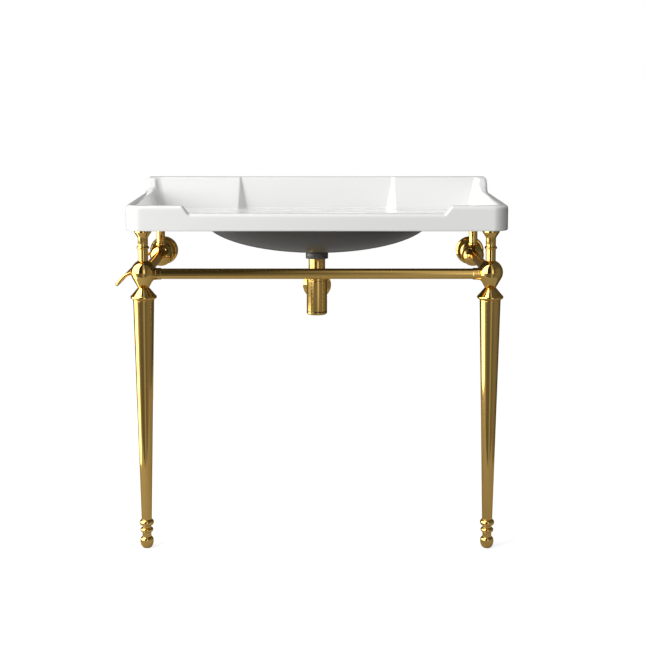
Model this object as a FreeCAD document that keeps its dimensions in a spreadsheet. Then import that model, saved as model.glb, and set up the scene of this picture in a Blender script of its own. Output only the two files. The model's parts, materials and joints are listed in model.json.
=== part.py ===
"""Console sink with legs: a ceramic basin on a turned brass stand, with its waste and bottle trap.

Millimetres. The origin is on the wall, at floor level, in the middle of the sink. +X is to the
right seen from the front, +Y goes into the wall and +Z is up.
"""
import FreeCAD, Part
import math
import os
import re

import Sketcher

Vector = FreeCAD.Vector

# ---------------------------------------------------------------- driving dimensions
SIZES = {
    "Basin": {
        "basin_width": (920, "across the front"),
        "basin_depth": (500, "wall to front face"),
        "plan_corner": (40, "radius of the front corners in plan"),
        "underside_height": (789, "floor to the flat underside"),
        "tray_height": (800, "floor to the tray's flat floor"),
        "rim_height": (850, "floor to the raised rim"),
        "dip_height": (831, "floor to the lowered middle of the front rim"),
        "splash_height": (885, "floor to the top of the backsplash"),
        "dip_half": (303, "half width of the lowered middle"),
        "dip_step": (21, "width of the curved step at each end of it"),
        "step_round": (11, "radius of each half of that step"),
        "rim_width": (21, "thickness of the rim along its top"),
        "tray_inset": (40, "side of the basin to the tray's floor"),
        "tray_front": (470, "wall to the front edge of the tray's floor"),
        "tray_corner": (24, "radius of the tray's front corners"),
        "sweep_start": (84, "wall to where the rim starts to rise"),
        "sweep_mid_depth": (48, "wall to the middle of that rise"),
        "sweep_mid_height": (863, "floor to the middle of that rise"),
        "sweep_low_round": (62, "radius of its hollow lower curve"),
        "sweep_high_round": (24, "radius of its rounded upper curve"),
        "splash_top": (28, "thickness of the backsplash at its top"),
        "splash_foot": (62, "wall to the foot of the backsplash's side parts"),
        "recess_foot": (33, "wall to the foot of its recessed middle"),
        "recess_top_half": (207.5, "half width of the recess at its top"),
        "recess_front_half": (212, "half width of the recess at its foot, in front"),
        "recess_back_half": (190, "half width of the recess at its foot, behind"),
        "recess_lip": (1.5, "width of the recess's step at its top"),
        "bowl_setback": (285, "wall to the middle of the bowl"),
        "bowl_half_width": (288, "half width outside"),
        "bowl_half_depth": (155, "half depth outside, front to back"),
        "bowl_drop": (88, "tray floor to the bowl's lowest outer point"),
        "china": (11, "thickness of the ceramic"),
        "boss_radius": (28.5, "drain boss under the bowl"),
        "boss_height": (703, "floor to the boss's face"),
        "drain_radius": (23, "hole through the boss"),
        "seat_radius": (33, "flat seat for the waste flange"),
        "seat_height": (719, "floor to that seat"),
        "edge_round": (8, "rounding of the rim's outer edge"),
        "inner_round": (5, "rounding of the rim's inner edge"),
        "tray_round": (8, "fillet round the tray's floor and round the bowl below"),
        "mouth_round": (8, "rounding of the bowl's mouth"),
        "low_edge_round": (3, "rounding of the lower edge"),
    },
    "Column": {
        "leg_spread": (419.5, "middle of the sink to a leg's axis"),
        "leg_setback": (463, "wall to a leg's axis"),
        "rear_setback": (84, "wall to a rear post's axis"),
        "pad_radius": (8.8, "floor pad"),
        "pad_recess": (3.2, "ceiling of its recess in the foot"),
        "ball_base": (1.5, "underside of the ball"),
        "ball_base_radius": (11, "flat under the ball"),
        "ball_radius": (16.2, "widest part of the ball"),
        "ball_height": (19.5, "floor to there"),
        "ball_low_round": (24, "radius of its lower curve"),
        "ball_high_round": (8.8, "radius of its upper curve"),
        "neck_radius": (11, "neck over the ball"),
        "neck_bottom": (28, "floor to the neck"),
        "neck_top": (39.5, "floor to the small ring"),
        "small_ring_top": (51, "floor to the top of the small ring"),
        "small_ring_round": (5.8, "radius of the small ring's section"),
        "groove_radius": (10.5, "groove between the rings"),
        "big_ring_bottom": (56, "floor to the big ring"),
        "big_ring_top": (71.4, "floor to the big ring's top"),
        "big_ring_edge": (12.2, "radius of the big ring's upper edge"),
        "big_ring_round": (7.9, "radius of the big ring's section"),
        "foot_top": (72, "floor to the foot's shoulder"),
        "spindle_radius": (6, "levelling thread on the foot"),
        "spindle_top": (104, "floor to the end of that thread"),
        "thread_gap": (0.05, "running clearance of a thread"),
        "leg_bottom": (72.2, "floor to the leg's lower end"),
        "leg_low_radius": (12.6, "leg at its lower end"),
        "leg_top": (617.6, "floor to the leg's upper end"),
        "leg_top_radius": (25.2, "leg at its upper end"),
        "leg_wall": (2.5, "wall of the leg's tube"),
        "leg_plug_top": (112, "floor to the top of the leg's solid end"),
        "leg_plug_radius": (11, "inside of the tube there"),
        "cap_spigot": (22, "spigot of the cap inside the leg"),
        "cap_spigot_bottom": (605, "floor to its end"),
        "cap_neck_radius": (25.8, "cap where it sits on the leg"),
        "cap_lip_bottom": (620, "floor to the cap's lip"),
        "cap_lip_start": (29.4, "underside of the lip"),
        "cap_lip_under": (621.6, "floor to the underside of the lip"),
        "cap_lip_round": (4.4, "radius of the lip's edge"),
        "cap_cone_radius": (29.3, "foot of the cap's cone"),
        "cap_cone_bottom": (629.5, "floor to there"),
        "cap_top_radius": (13.4, "top of the cap's cone"),
        "cap_top": (648.5, "floor to there"),
        "stud_radius": (5, "threaded studs inside the columns"),
        "stud_depth": (18, "how far a stud goes into each piece"),
        "bulb_round": (30, "radius of the bulb's upper curve"),
        "bulb_side_radius": (26, "bulb where its cone starts"),
        "bulb_side_height": (671, "floor to there"),
        "stem_bottom": (713.5, "floor to the stem"),
        "stem_radius": (12, "stem over the bulb"),
        "stem_ring_bottom": (742.2, "floor to the stem's ring"),
        "stem_ring_top": (749.2, "floor to its top"),
        "stem_ring_round": (3.52, "radius of the ring's section"),
        "flare_bottom": (767, "floor to the stem's flare"),
        "flare_mid_radius": (14.6, "where the flare turns straight"),
        "flare_mid": (774, "floor to there"),
        "flare_round": (14, "radius of the flare's hollow"),
        "flare_radius": (20.8, "top of the flare"),
        "flare_top": (783.5, "floor to there"),
        "stand_top": (787.5, "floor to the stand's top faces"),
        "top_pad_radius": (19, "rubber pad on the stem"),
    },
    "Rails": {
        "rail_height": (682, "floor to the rails' axes"),
        "front_rail_radius": (12.7, "front rail"),
        "side_rail_radius": (12.5, "side rails and wall stubs"),
        "rail_wall": (1.5, "wall of the rails' tubes"),
        "socket_floor": (14, "axis of a bulb to the end of a rail"),
        "boss_wall": (2.3, "wall of a bulb's socket"),
        "boss_reach": (31, "axis of a bulb to the face of its socket"),
        "collar_length": (12, "collar on the front rail"),
        "collar_radius": (14.3, "outside of that collar"),
        "collar_edge": (0.8, "chamfer of that collar"),
        "rear_ball_radius": (29.5, "rear ball"),
        "rear_ball_foot": (5, "radius of its small flat below"),
        "rear_ball_bottom": (649.93, "floor to that flat"),
        "rear_ball_flat": (12, "radius of its flat top"),
        "rear_ball_top": (705.95, "floor to that flat"),
        "rear_socket_floor": (12, "axis of a rear ball to the end of a rail"),
        "post_radius": (11.5, "rear post"),
        "post_collar": (13.6, "collar at the post's foot"),
        "post_collar_edge": (707.7, "floor to the collar's widest part"),
        "post_collar_top": (711.5, "floor to the collar's shoulder"),
        "post_collar_end": (713.5, "floor to where the plain post starts"),
        "rear_pad_radius": (11, "rubber pad on the rear post"),
        "screw_radius": (3, "grub screws that lock the rails"),
        "screw_length": (4.5, "their length"),
        "screw_gap": (0.2, "front of such a screw to the tube's own radius"),
        "front_screw_offset": (21, "axis of a bulb to its grub screws"),
        "rear_screw_offset": (21, "axis of a rear ball to its grub screws"),
        "rear_screw_in": (0.61, "how far those lean towards the middle"),
        "rear_screw_up": (0.79, "how far they point up"),
    },
    "Wall": {
        "flange_radius": (38, "wall flange"),
        "flange_edge": (7, "its straight edge"),
        "flange_bevel_radius": (34.5, "inside of its bevel"),
        "flange_depth": (13, "wall to its face"),
        "hub_radius": (18, "hub inside the flange"),
        "dome_radius": (32.5, "foot of the dome over the flange"),
        "dome_depth": (44, "wall to the dome's face"),
        "dome_face": (18, "radius of that face"),
        "dome_round": (40, "radius of the dome's curve"),
        "stub_floor": (30, "wall to the end of the stub"),
        "fixing_radius": (4, "threaded hole for the wall's hanger bolt"),
        "fixing_depth": (25, "depth of that hole"),
    },
    "TowelRail": {
        "rod_radius": (4.25, "towel rail's rod"),
        "rod_height": (688, "floor to its ends"),
        "rod_start": (16, "axis of a bulb to the rod's end"),
        "rod_reach": (65, "axis of a leg to the side bar"),
        "rod_bend": (46, "axis of a leg to the bend of an end arm"),
        "rod_bend_drop": (11, "from an arm's end down to its bend"),
        "rod_drop": (33.5, "from an arm's end down to the side bar"),
        "rod_arm_round": (40, "radius of the arms' bends"),
        "rod_corner": (12, "radius of the corners at the side bar"),
    },
    "Waste": {
        "waste_flange_radius": (32, "flange in the bowl"),
        "waste_flange_edge": (720.4, "floor to the flange's thin edge"),
        "waste_flange_top": (722, "floor to the flange's face"),
        "waste_bore_top": (18, "mouth of the flange"),
        "sleeve_radius": (18.5, "threaded sleeve of the flange"),
        "sleeve_bore": (16, "bore of that sleeve"),
        "sleeve_bottom": (680, "floor to the sleeve's end"),
        "gasket_bottom": (697, "floor to the waste gasket's lower face"),
        "tail_radius": (21, "waste tail, an inch and a quarter pipe thread"),
        "tail_bottom": (646, "floor to the tail's end"),
        "dip_radius": (16, "dip tube"),
        "dip_wall": (1.5, "its wall"),
        "dip_top": (672, "floor to its upper end"),
        "dip_bottom": (572, "floor to its lower end"),
        "cartridge_radius": (7.5, "plug's push cartridge"),
        "cartridge_bore": (6.5, "inside of it"),
        "cartridge_guide": (4.05, "guide hole at its top"),
        "cartridge_bottom": (680, "floor to its end"),
        "cartridge_floor": (682, "floor to its inside"),
        "cartridge_lid": (704, "floor to the underside of its lid"),
        "cartridge_top": (706, "floor to its top"),
        "spoke_reach": (15.85, "axis of the cartridge to the ends of its arms"),
        "spoke_width": (4, "width of those arms"),
        "spoke_height": (8, "height of those arms"),
        "plug_radius": (31, "push plug"),
        "plug_bottom": (724.6, "floor to the plug's underside"),
        "plug_edge": (727, "floor to the top of its edge"),
        "plug_crown": (730, "floor to its crown"),
        "plug_crown_round": (130, "radius of that crown"),
        "plug_stem_radius": (4, "stem of the plug"),
        "plug_foot_radius": (5.6, "head at the stem's end"),
        "plug_foot_bottom": (693.5, "floor to the stem's end"),
        "plug_foot_top": (694.5, "floor to the top of that head"),
        "seal_inner": (20, "inside of the plug's seal"),
        "seal_outer": (26, "outside of it"),
        "seal_bottom": (722.2, "floor to its lower face"),
        "spring_radius": (5.3, "coil of the plug's spring, to the wire's middle"),
        "spring_wire": (0.55, "radius of the spring's wire"),
        "spring_pitch": (2.5, "rise of the spring in a turn"),
        "spring_turns": (4, "turns of the spring"),
    },
    "Trap": {
        "trap_radius": (26, "bottle of the trap"),
        "trap_bore": (23.5, "inside of it"),
        "trap_shoulder": (640, "floor to the bottle's shoulder"),
        "trap_neck_radius": (24.5, "threaded neck"),
        "trap_neck_top": (655, "floor to the neck's end"),
        "trap_neck_bore": (21.2, "bore of the neck"),
        "trap_neck_floor": (636, "floor to where that bore starts"),
        "trap_edge": (562, "floor to the bottle's lower edge"),
        "inlet_nut_radius": (28.5, "nut on the neck"),
        "inlet_nut_bottom": (643, "floor to the nut's lower face"),
        "inlet_nut_lid": (661, "floor to the underside of its lid"),
        "inlet_nut_top": (664, "floor to its top"),
        "inlet_seal_top": (660.6, "floor to the top of the inlet seal"),
        "cap_top_face": (560, "floor to the cleaning cap's shoulder"),
        "trap_bottom": (553, "floor to its lower face"),
        "trap_chamfer": (3, "chamfer of its lower edge"),
        "cap_plug_radius": (23.45, "threaded plug of the cleaning cap"),
        "cap_plug_top": (571, "floor to the plug's end"),
        "cap_plug_bore": (20.5, "hollow of that plug"),
        "cap_plug_floor": (557, "floor to the bottom of that hollow"),
        "outlet_height": (586, "floor to the outlet's axis"),
        "spigot_radius": (20, "outlet spigot of the bottle"),
        "spigot_reach": (46, "axis of the bottle to the spigot's end"),
        "outlet_radius": (16, "outlet pipe"),
        "outlet_wall": (1.2, "its wall"),
        "outlet_start": (28, "axis of the bottle to the pipe's end"),
        "outlet_past_wall": (30, "how far the pipe goes into the wall"),
        "outlet_end_radius": (15.6, "its turned-down end in the wall"),
        "outlet_end_start": (1, "wall to where the pipe narrows"),
        "outlet_end_cone": (2, "wall to where that end starts"),
        "outlet_nut_radius": (25, "nut on the spigot"),
        "outlet_nut_start": (32, "axis of the bottle to the nut"),
        "outlet_nut_lid": (50, "axis of the bottle to the nut's lid"),
        "outlet_nut_end": (53, "axis of the bottle to the nut's end"),
        "escutcheon_radius": (39, "wall plate of the outlet"),
        "escutcheon_edge": (3, "its thin edge"),
        "escutcheon_shoulder": (22, "radius of its shoulder"),
        "escutcheon_depth": (12, "wall to its face"),
        "slip_gap": (0.05, "clearance of a sliding plate or pipe"),
    },
}
NODES = []
doc = FreeCAD.newDocument("console_sink")


def fill_sheet():
    """Write every driving dimension to a spreadsheet row: what it is, then its value with an alias."""
    sheet = doc.addObject("Spreadsheet::Sheet", "Sizes")
    row = 1
    for group, cells in SIZES.items():
        sheet.set(f"A{row}", group)
        row += 1
        for alias, (value, meaning) in cells.items():
            sheet.set(f"A{row}", meaning)
            sheet.set(f"B{row}", str(value))
            sheet.setAlias(f"B{row}", alias)
            row += 1
    doc.recompute()
    return sheet


sheet = fill_sheet()


# ---------------------------------------------------------------- helpers
def bound(text):
    """Turn words such as 'leg_top - leg_wall' into an expression on the spreadsheet's cells."""
    return re.sub(r"[a-z][a-z_]+", r"Sizes.\g<0>", text)


def amount(text):
    """The number that such an expression gives now."""
    return float(sheet.evalExpression(bound(text)))


def point(x, y, z):
    return Vector(amount(x), amount(y), amount(z))


def place(item, at, direction=(0, 0, 1)):
    """Turn an object's own Z axis to a direction, and bind its position to the sheet."""
    turn = FreeCAD.Rotation(Vector(0, 0, 1), Vector(*direction))
    item.Placement = FreeCAD.Placement(point(*at), turn)
    for letter, text in zip("xyz", at):
        item.setExpression(f"Placement.Base.{letter}", bound(text))
    return item


def keep(item, name):
    """Name a finished sub-part and put it on the list of nodes."""
    item.Label = name
    NODES.append(item)
    return item


def new_body(name, at=("0", "0", "0"), direction=(0, 0, 1)):
    return place(doc.addObject("PartDesign::Body", name), at, direction)


def new_sketch(body, plane, offset="0"):
    """A sketch on one of the body's own origin planes, moved along that plane's normal."""
    sketch = body.newObject("Sketcher::SketchObject", body.Name + "_sketch")
    support = [feature for feature in body.Origin.OriginFeatures if feature.Role == plane][0]
    sketch.AttachmentSupport = [(support, "")]
    sketch.MapMode = "FlatFace"
    sketch.AttachmentOffset = FreeCAD.Placement(Vector(0, 0, amount(offset)), FreeCAD.Rotation())
    sketch.setExpression("AttachmentOffset.Base.z", bound(offset))
    return sketch


def arc_middle(start, end, radius, turn):
    """The middle point of the short arc between two points that turns left or right."""
    chord = end - start
    depth = radius - math.sqrt(radius**2 - chord.Length**2 / 4)
    side = Vector(chord.y, -chord.x, 0).normalize()
    if turn == "right":
        side = side * -1
    return (start + end) / 2 + side * depth


def drive(sketch, constraint, text):
    index = sketch.addConstraint(constraint)
    sketch.setExpression(f"Constraints[{index}]", bound(text))


def draw_outline(sketch, outline):
    """Draw a closed outline of (x, y) or (x, y, radius, turn) corners, each bound to the sheet.

    A corner with a radius starts an arc that turns left or right on its way to the next corner.
    """
    corners = [Vector(amount(corner[0]), amount(corner[1]), 0) for corner in outline]
    starts = []
    ends = []
    for index, corner in enumerate(outline):
        start = corners[index]
        end = corners[(index + 1) % len(corners)]
        if len(corner) == 2:
            edge = Part.LineSegment(start, end)
        else:
            edge = Part.Arc(start, arc_middle(start, end, amount(corner[2]), corner[3]), end)
        number = sketch.addGeometry(edge, False)
        first = 1 if sketch.getPoint(number, 1).distanceToPoint(start) < 1e-6 else 2
        starts.append((number, first))
        ends.append((number, 3 - first))
    for index, corner in enumerate(outline):
        number, first = starts[index]
        sketch.addConstraint(Sketcher.Constraint("Coincident", *ends[index - 1], number, first))
        here = corners[index]
        drive(sketch, Sketcher.Constraint("DistanceX", -1, 1, number, first, here.x), corner[0])
        drive(sketch, Sketcher.Constraint("DistanceY", -1, 1, number, first, here.y), corner[1])
        if len(corner) == 4:
            drive(sketch, Sketcher.Constraint("Radius", number, amount(corner[2])), corner[2])
    return sketch


def draw_circle(sketch, x, y, radius):
    centre = Vector(amount(x), amount(y), 0)
    number = sketch.addGeometry(Part.Circle(centre, Vector(0, 0, 1), amount(radius)), False)
    drive(sketch, Sketcher.Constraint("DistanceX", -1, 1, number, 3, centre.x), x)
    drive(sketch, Sketcher.Constraint("DistanceY", -1, 1, number, 3, centre.y), y)
    drive(sketch, Sketcher.Constraint("Radius", number, amount(radius)), radius)
    return sketch


def turned(name, outline, at=("0", "0", "0"), direction=(0, 0, 1)):
    """A lathe-turned body: (radius, height) corners turned a full turn about the body's Z axis."""
    body = new_body(name, at, direction)
    sketch = draw_outline(new_sketch(body, "XZ_Plane"), outline)
    lathe = body.newObject("PartDesign::Revolution", name + "_turning")
    lathe.Profile = sketch
    lathe.ReferenceAxis = (sketch, ["V_Axis"])
    lathe.Angle = 360
    return body


def tube(name, outer, inner, length, at, direction):
    ring = [(inner, "0"), (outer, "0"), (outer, length), (inner, length)]
    return turned(name, ring, at, direction)


def pad(body, sketch, length):
    feature = body.newObject("PartDesign::Pad", body.Name + "_pad")
    feature.Profile = sketch
    feature.setExpression("Length", bound(length))
    return feature


def cut_both_ways(body, sketch, length):
    """A pocket that goes half its length to each side of its sketch."""
    before = solid_volume(body)
    feature = body.newObject("PartDesign::Pocket", body.Name + "_pocket")
    feature.Profile = sketch
    feature.Midplane = True
    feature.setExpression("Length", bound(length))
    if solid_volume(body) >= before:
        raise ValueError(f"{feature.Name} removed nothing")
    return feature


def solid_volume(body):
    doc.recompute()
    return body.Shape.Volume


def rod(at, direction, radius, length):
    """A plain cylinder that starts at a point and runs in a direction."""
    cylinder = doc.addObject("Part::Cylinder", "rod")
    cylinder.setExpression("Radius", bound(radius))
    cylinder.setExpression("Height", bound(length))
    return place(cylinder, at, direction)


def united(name, shapes):
    union = doc.addObject("Part::MultiFuse", name)
    union.Shapes = shapes
    return union


def rear_screw_way(sign):
    """The way out of a rear ball's grub screw: up, and in towards the middle of the sink."""
    return -sign * amount("rear_screw_in"), 0, amount("rear_screw_up")


def arm_direction():
    """The way an end arm of the towel rail leaves its bulb: out, and slightly down."""
    return amount("rod_start") - amount("rod_bend"), 0, -amount("rod_bend_drop")


def drilled(name, base, drills):
    """A piece with round holes: the drills are taken away from it together."""
    hole = drills[0] if len(drills) == 1 else united(name + "_drills", drills)
    cut = doc.addObject("Part::Cut", name)
    cut.Base = base
    cut.Tool = hole
    return cut


# ---------------------------------------------------------------- basin
def front_dip_outline():
    """The front rim's lowered middle with a curved step at each end, drawn past the rim's top."""
    over = "splash_height"
    low = "dip_height"
    middle = "(dip_height + rim_height) / 2"
    inner = "dip_half"
    half = "(dip_half + dip_step / 2)"
    outer = "(dip_half + dip_step)"
    return [
        (f"-{outer}", over),
        (f"-{outer}", "rim_height", "step_round", "right"),
        (f"-{half}", middle, "step_round", "left"),
        (f"-{inner}", low),
        (inner, low, "step_round", "left"),
        (half, middle, "step_round", "right"),
        (outer, "rim_height"),
        (outer, over),
    ]


def side_cut_outline():
    """What is taken off above the rim, seen from the side: level, then a sweep to the backsplash."""
    return [
        ("-basin_depth - china", "rim_height"),
        ("-sweep_start", "rim_height", "sweep_low_round", "left"),
        ("-sweep_mid_depth", "sweep_mid_height", "sweep_high_round", "right"),
        ("-splash_top", "splash_height"),
        ("-splash_top", "splash_height + china"),
        ("-basin_depth - china", "splash_height + china"),
    ]


def plan_outline():
    half = "basin_width / 2"
    return [
        (f"-{half}", "0"),
        (f"-{half}", "plan_corner - basin_depth", "plan_corner", "left"),
        (f"plan_corner - {half}", "-basin_depth"),
        (f"{half} - plan_corner", "-basin_depth", "plan_corner", "left"),
        (half, "plan_corner - basin_depth"),
        (half, "0"),
    ]


def tray_outline(side, front, foot, recess, step_front, step_back):
    """One level of the tray's hollow, from its front corners round to the backsplash's recess."""
    return [
        (f"-({side})", f"tray_corner - ({front})", "tray_corner", "left"),
        (f"tray_corner - ({side})", f"-({front})"),
        (f"{side} - tray_corner", f"-({front})", "tray_corner", "left"),
        (side, f"tray_corner - ({front})"),
        (side, f"-({foot})"),
        (step_front, f"-({foot})"),
        (step_back, f"-({recess})"),
        (f"-({step_back})", f"-({recess})"),
        (f"-({step_front})", f"-({foot})"),
        (f"-({side})", f"-({foot})"),
    ]


def hollow_out(body, levels):
    """Cut a loft through outlines at rising heights."""
    before = solid_volume(body)
    sketches = []
    for height, outline in levels:
        sketches.append(draw_outline(new_sketch(body, "XY_Plane", height), outline))
    loft = body.newObject("PartDesign::SubtractiveLoft", body.Name + "_hollow")
    loft.Profile = sketches[0]
    loft.Sections = sketches[1:]
    loft.Ruled = True
    if solid_volume(body) >= before:
        raise ValueError(f"{loft.Name} removed nothing")


def cut_tray(body):
    """The tray: its sides lean out to the rim, and its back is the backsplash with its recess."""
    rise = "(rim_height - tray_height) / (splash_height - tray_height)"
    half = "basin_width / 2"
    front_top = "basin_depth - rim_width"
    foot_at_rim = f"splash_foot + (splash_top - splash_foot) * {rise}"
    recess_at_rim = f"recess_foot + (splash_top - recess_foot) * {rise}"
    step_front_at_rim = f"recess_front_half + (recess_top_half - recess_front_half) * {rise}"
    lip = "(recess_top_half - recess_lip)"
    step_back_at_rim = f"recess_back_half + ({lip} - recess_back_half) * {rise}"
    side_top = f"{half} - rim_width"
    low = tray_outline(f"{half} - tray_inset", "tray_front", "splash_foot", "recess_foot",
                       "recess_front_half", "recess_back_half")
    middle = tray_outline(side_top, front_top, foot_at_rim, recess_at_rim,
                          step_front_at_rim, step_back_at_rim)
    high = tray_outline(side_top, front_top, "splash_top", "splash_top - recess_lip",
                        "recess_top_half", lip)
    hollow_out(body, [("tray_height", low), ("rim_height", middle), ("splash_height", high)])


def bowl_half(body, kind, wall, top_angle):
    """An ellipsoid about the bowl's middle, at the height of the tray's floor."""
    shell = body.newObject(kind, body.Name + "_bowl")
    support = [feature for feature in body.Origin.OriginFeatures if feature.Role == "XY_Plane"][0]
    shell.AttachmentSupport = [(support, "")]
    shell.MapMode = "FlatFace"
    shell.setExpression("AttachmentOffset.Base.y", bound("-bowl_setback"))
    shell.setExpression("AttachmentOffset.Base.z", bound("tray_height"))
    shell.setExpression("Radius1", bound(f"bowl_drop - {wall}"))
    shell.setExpression("Radius2", bound(f"bowl_half_width - {wall}"))
    shell.setExpression("Radius3", bound(f"bowl_half_depth - {wall}"))
    shell.Angle1 = -90
    shell.Angle2 = top_angle


def round_edges(body, radius, wanted):
    """Round the edges of the body's last feature that a test picks out."""
    doc.recompute()
    base = body.Tip
    names = [f"Edge{index + 1}" for index, edge in enumerate(base.Shape.Edges) if wanted(edge)]
    fillet = body.newObject("PartDesign::Fillet", body.Name + "_rounding")
    fillet.Base = (base, names)
    fillet.setExpression("Radius", bound(radius))
    doc.recompute()
    return fillet


def lies_at(edge, height):
    return abs(edge.BoundBox.ZMin - height) < 0.1 and abs(edge.BoundBox.ZMax - height) < 0.1


def is_mouth(edge):
    """The bowl's mouth, which is longer than any edge of the tray's floor."""
    return lies_at(edge, amount("tray_height")) and edge.Length > amount("basin_width")


def is_tray_edge(edge):
    return lies_at(edge, amount("tray_height")) and edge.Length < amount("basin_width")


def is_bulge_edge(edge):
    """Where the bowl leaves the flat underside."""
    return lies_at(edge, amount("underside_height")) and edge.Length > 1.2 * amount("basin_width")


def is_lower_edge(edge):
    """The lower edge of the front and the sides, but not of the back."""
    return (lies_at(edge, amount("underside_height")) and edge.BoundBox.YMin < -1
            and edge.Length < amount("basin_width"))


def is_outer_rim(edge):
    """The outer edge of the rim, with its dip and its front corners, up to the sweep."""
    box = edge.BoundBox
    half = amount("basin_width / 2")
    on_side = min(abs(box.XMin + half) + abs(box.XMax + half),
                  abs(box.XMin - half) + abs(box.XMax - half)) < 0.1
    on_front = abs(box.YMin + amount("basin_depth")) + abs(box.YMax + amount("basin_depth")) < 0.1
    quarter = math.pi / 2 * amount("plan_corner")
    on_corner = abs(edge.Length - quarter) < 0.1 and box.YMin < -amount("tray_front")
    above = box.ZMin > amount("tray_height") + amount("edge_round")
    before_sweep = box.ZMax < amount("rim_height") + 0.5
    return above and before_sweep and (on_side or on_front or on_corner)


def is_inner_rim(edge):
    """The edge between the rim's top and the tray's leaning sides, on to the sweep at the back."""
    box = edge.BoundBox
    inner = amount("basin_width / 2 - rim_width")
    on_side = abs(abs(box.XMin) - inner) + abs(abs(box.XMax) - inner) < 0.3
    side_run = on_side and box.YLength > 3 and box.YMin < -amount("rim_width") * 2
    behind = box.YMin > 0.1 - amount("basin_depth - rim_width") - 0.5
    front_run = behind and box.YMax < -amount("tray_front") - 1 and box.XLength > 1
    quarter = math.pi / 2 * amount("tray_corner")
    on_corner = abs(edge.Length - quarter) < 0.2 and box.YMax < -amount("bowl_setback")
    above = box.ZMin > amount("dip_height") - 0.5
    before_wall = box.YMax < 1 - amount("splash_top")
    return above and before_wall and (side_run or front_run or on_corner)


def make_basin():
    body = new_body("basin")
    slab = draw_outline(new_sketch(body, "XY_Plane", "underside_height"), plan_outline())
    pad(body, slab, "splash_height - underside_height")
    side = draw_outline(new_sketch(body, "YZ_Plane"), side_cut_outline())
    cut_both_ways(body, side, "basin_width + rim_width")
    dip = draw_outline(new_sketch(body, "XZ_Plane", "basin_depth"), front_dip_outline())
    cut_both_ways(body, dip, "4 * rim_width")
    cut_tray(body)
    bowl_half(body, "PartDesign::AdditiveEllipsoid", "0", 0)
    boss = draw_circle(new_sketch(body, "XY_Plane", "boss_height"),
                       "0", "-bowl_setback", "boss_radius")
    pad(body, boss, "china")
    doc.recompute()
    bowl_half(body, "PartDesign::SubtractiveEllipsoid", "china", 90)
    drain = draw_circle(new_sketch(body, "XY_Plane", "seat_height"),
                        "0", "-bowl_setback", "drain_radius")
    cut_both_ways(body, drain, "4 * drain_radius")
    seat = draw_circle(new_sketch(body, "XY_Plane", "seat_height + china / 2"),
                       "0", "-bowl_setback", "seat_radius")
    cut_both_ways(body, seat, "china")
    round_edges(body, "edge_round", is_outer_rim)
    round_edges(body, "inner_round", is_inner_rim)
    round_edges(body, "mouth_round", is_mouth)
    round_edges(body, "tray_round", is_tray_edge)
    round_edges(body, "tray_round", is_bulge_edge)
    round_edges(body, "low_edge_round", is_lower_edge)
    keep(body, "basin")


# ---------------------------------------------------------------- turned columns
def make_foot(side, at):
    """The levelling foot: ball, neck, two rings and the thread that goes up into the leg."""
    keep(turned("foot_" + side, [
        ("0", "pad_recess"),
        ("pad_radius", "pad_recess"),
        ("pad_radius", "ball_base"),
        ("ball_base_radius", "ball_base", "ball_low_round", "left"),
        ("ball_radius", "ball_height", "ball_high_round", "left"),
        ("neck_radius", "neck_bottom"),
        ("neck_radius", "neck_top", "small_ring_round", "left"),
        ("groove_radius", "small_ring_top"),
        ("groove_radius", "big_ring_bottom", "big_ring_round", "left"),
        ("big_ring_edge", "big_ring_top"),
        ("big_ring_edge", "foot_top"),
        ("spindle_radius", "foot_top"),
        ("spindle_radius", "spindle_top"),
        ("0", "spindle_top"),
    ], at), "foot_" + side)
    pad_wide = "pad_radius - thread_gap"
    keep(turned("foot_pad_" + side, [
        ("0", "0"), (pad_wide, "0"), (pad_wide, "pad_recess - thread_gap"),
        ("0", "pad_recess - thread_gap"),
    ], at), "foot_pad_" + side)


def make_leg(side, at):
    """The tapered tube, with a solid lower end that is tapped for the foot, and its conical cap."""
    thread = "spindle_radius + thread_gap"
    keep(turned("leg_" + side, [
        (thread, "leg_bottom"),
        ("leg_low_radius", "leg_bottom"),
        ("leg_top_radius", "leg_top"),
        ("leg_top_radius - leg_wall", "leg_top"),
        ("leg_plug_radius", "leg_plug_top"),
        (thread, "leg_plug_top"),
    ], at), "leg_" + side)
    keep(turned("leg_cap_" + side, [
        ("0", "cap_spigot_bottom"),
        ("cap_spigot", "cap_spigot_bottom"),
        ("cap_spigot", "leg_top"),
        ("cap_neck_radius", "leg_top"),
        ("cap_neck_radius", "cap_lip_bottom"),
        ("cap_lip_start", "cap_lip_under", "cap_lip_round", "left"),
        ("cap_cone_radius", "cap_cone_bottom"),
        ("cap_top_radius", "cap_top"),
        ("stud_radius", "cap_top"),
        ("stud_radius", "cap_top - stud_depth"),
        ("0", "cap_top - stud_depth"),
    ], at), "leg_cap_" + side)


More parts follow.
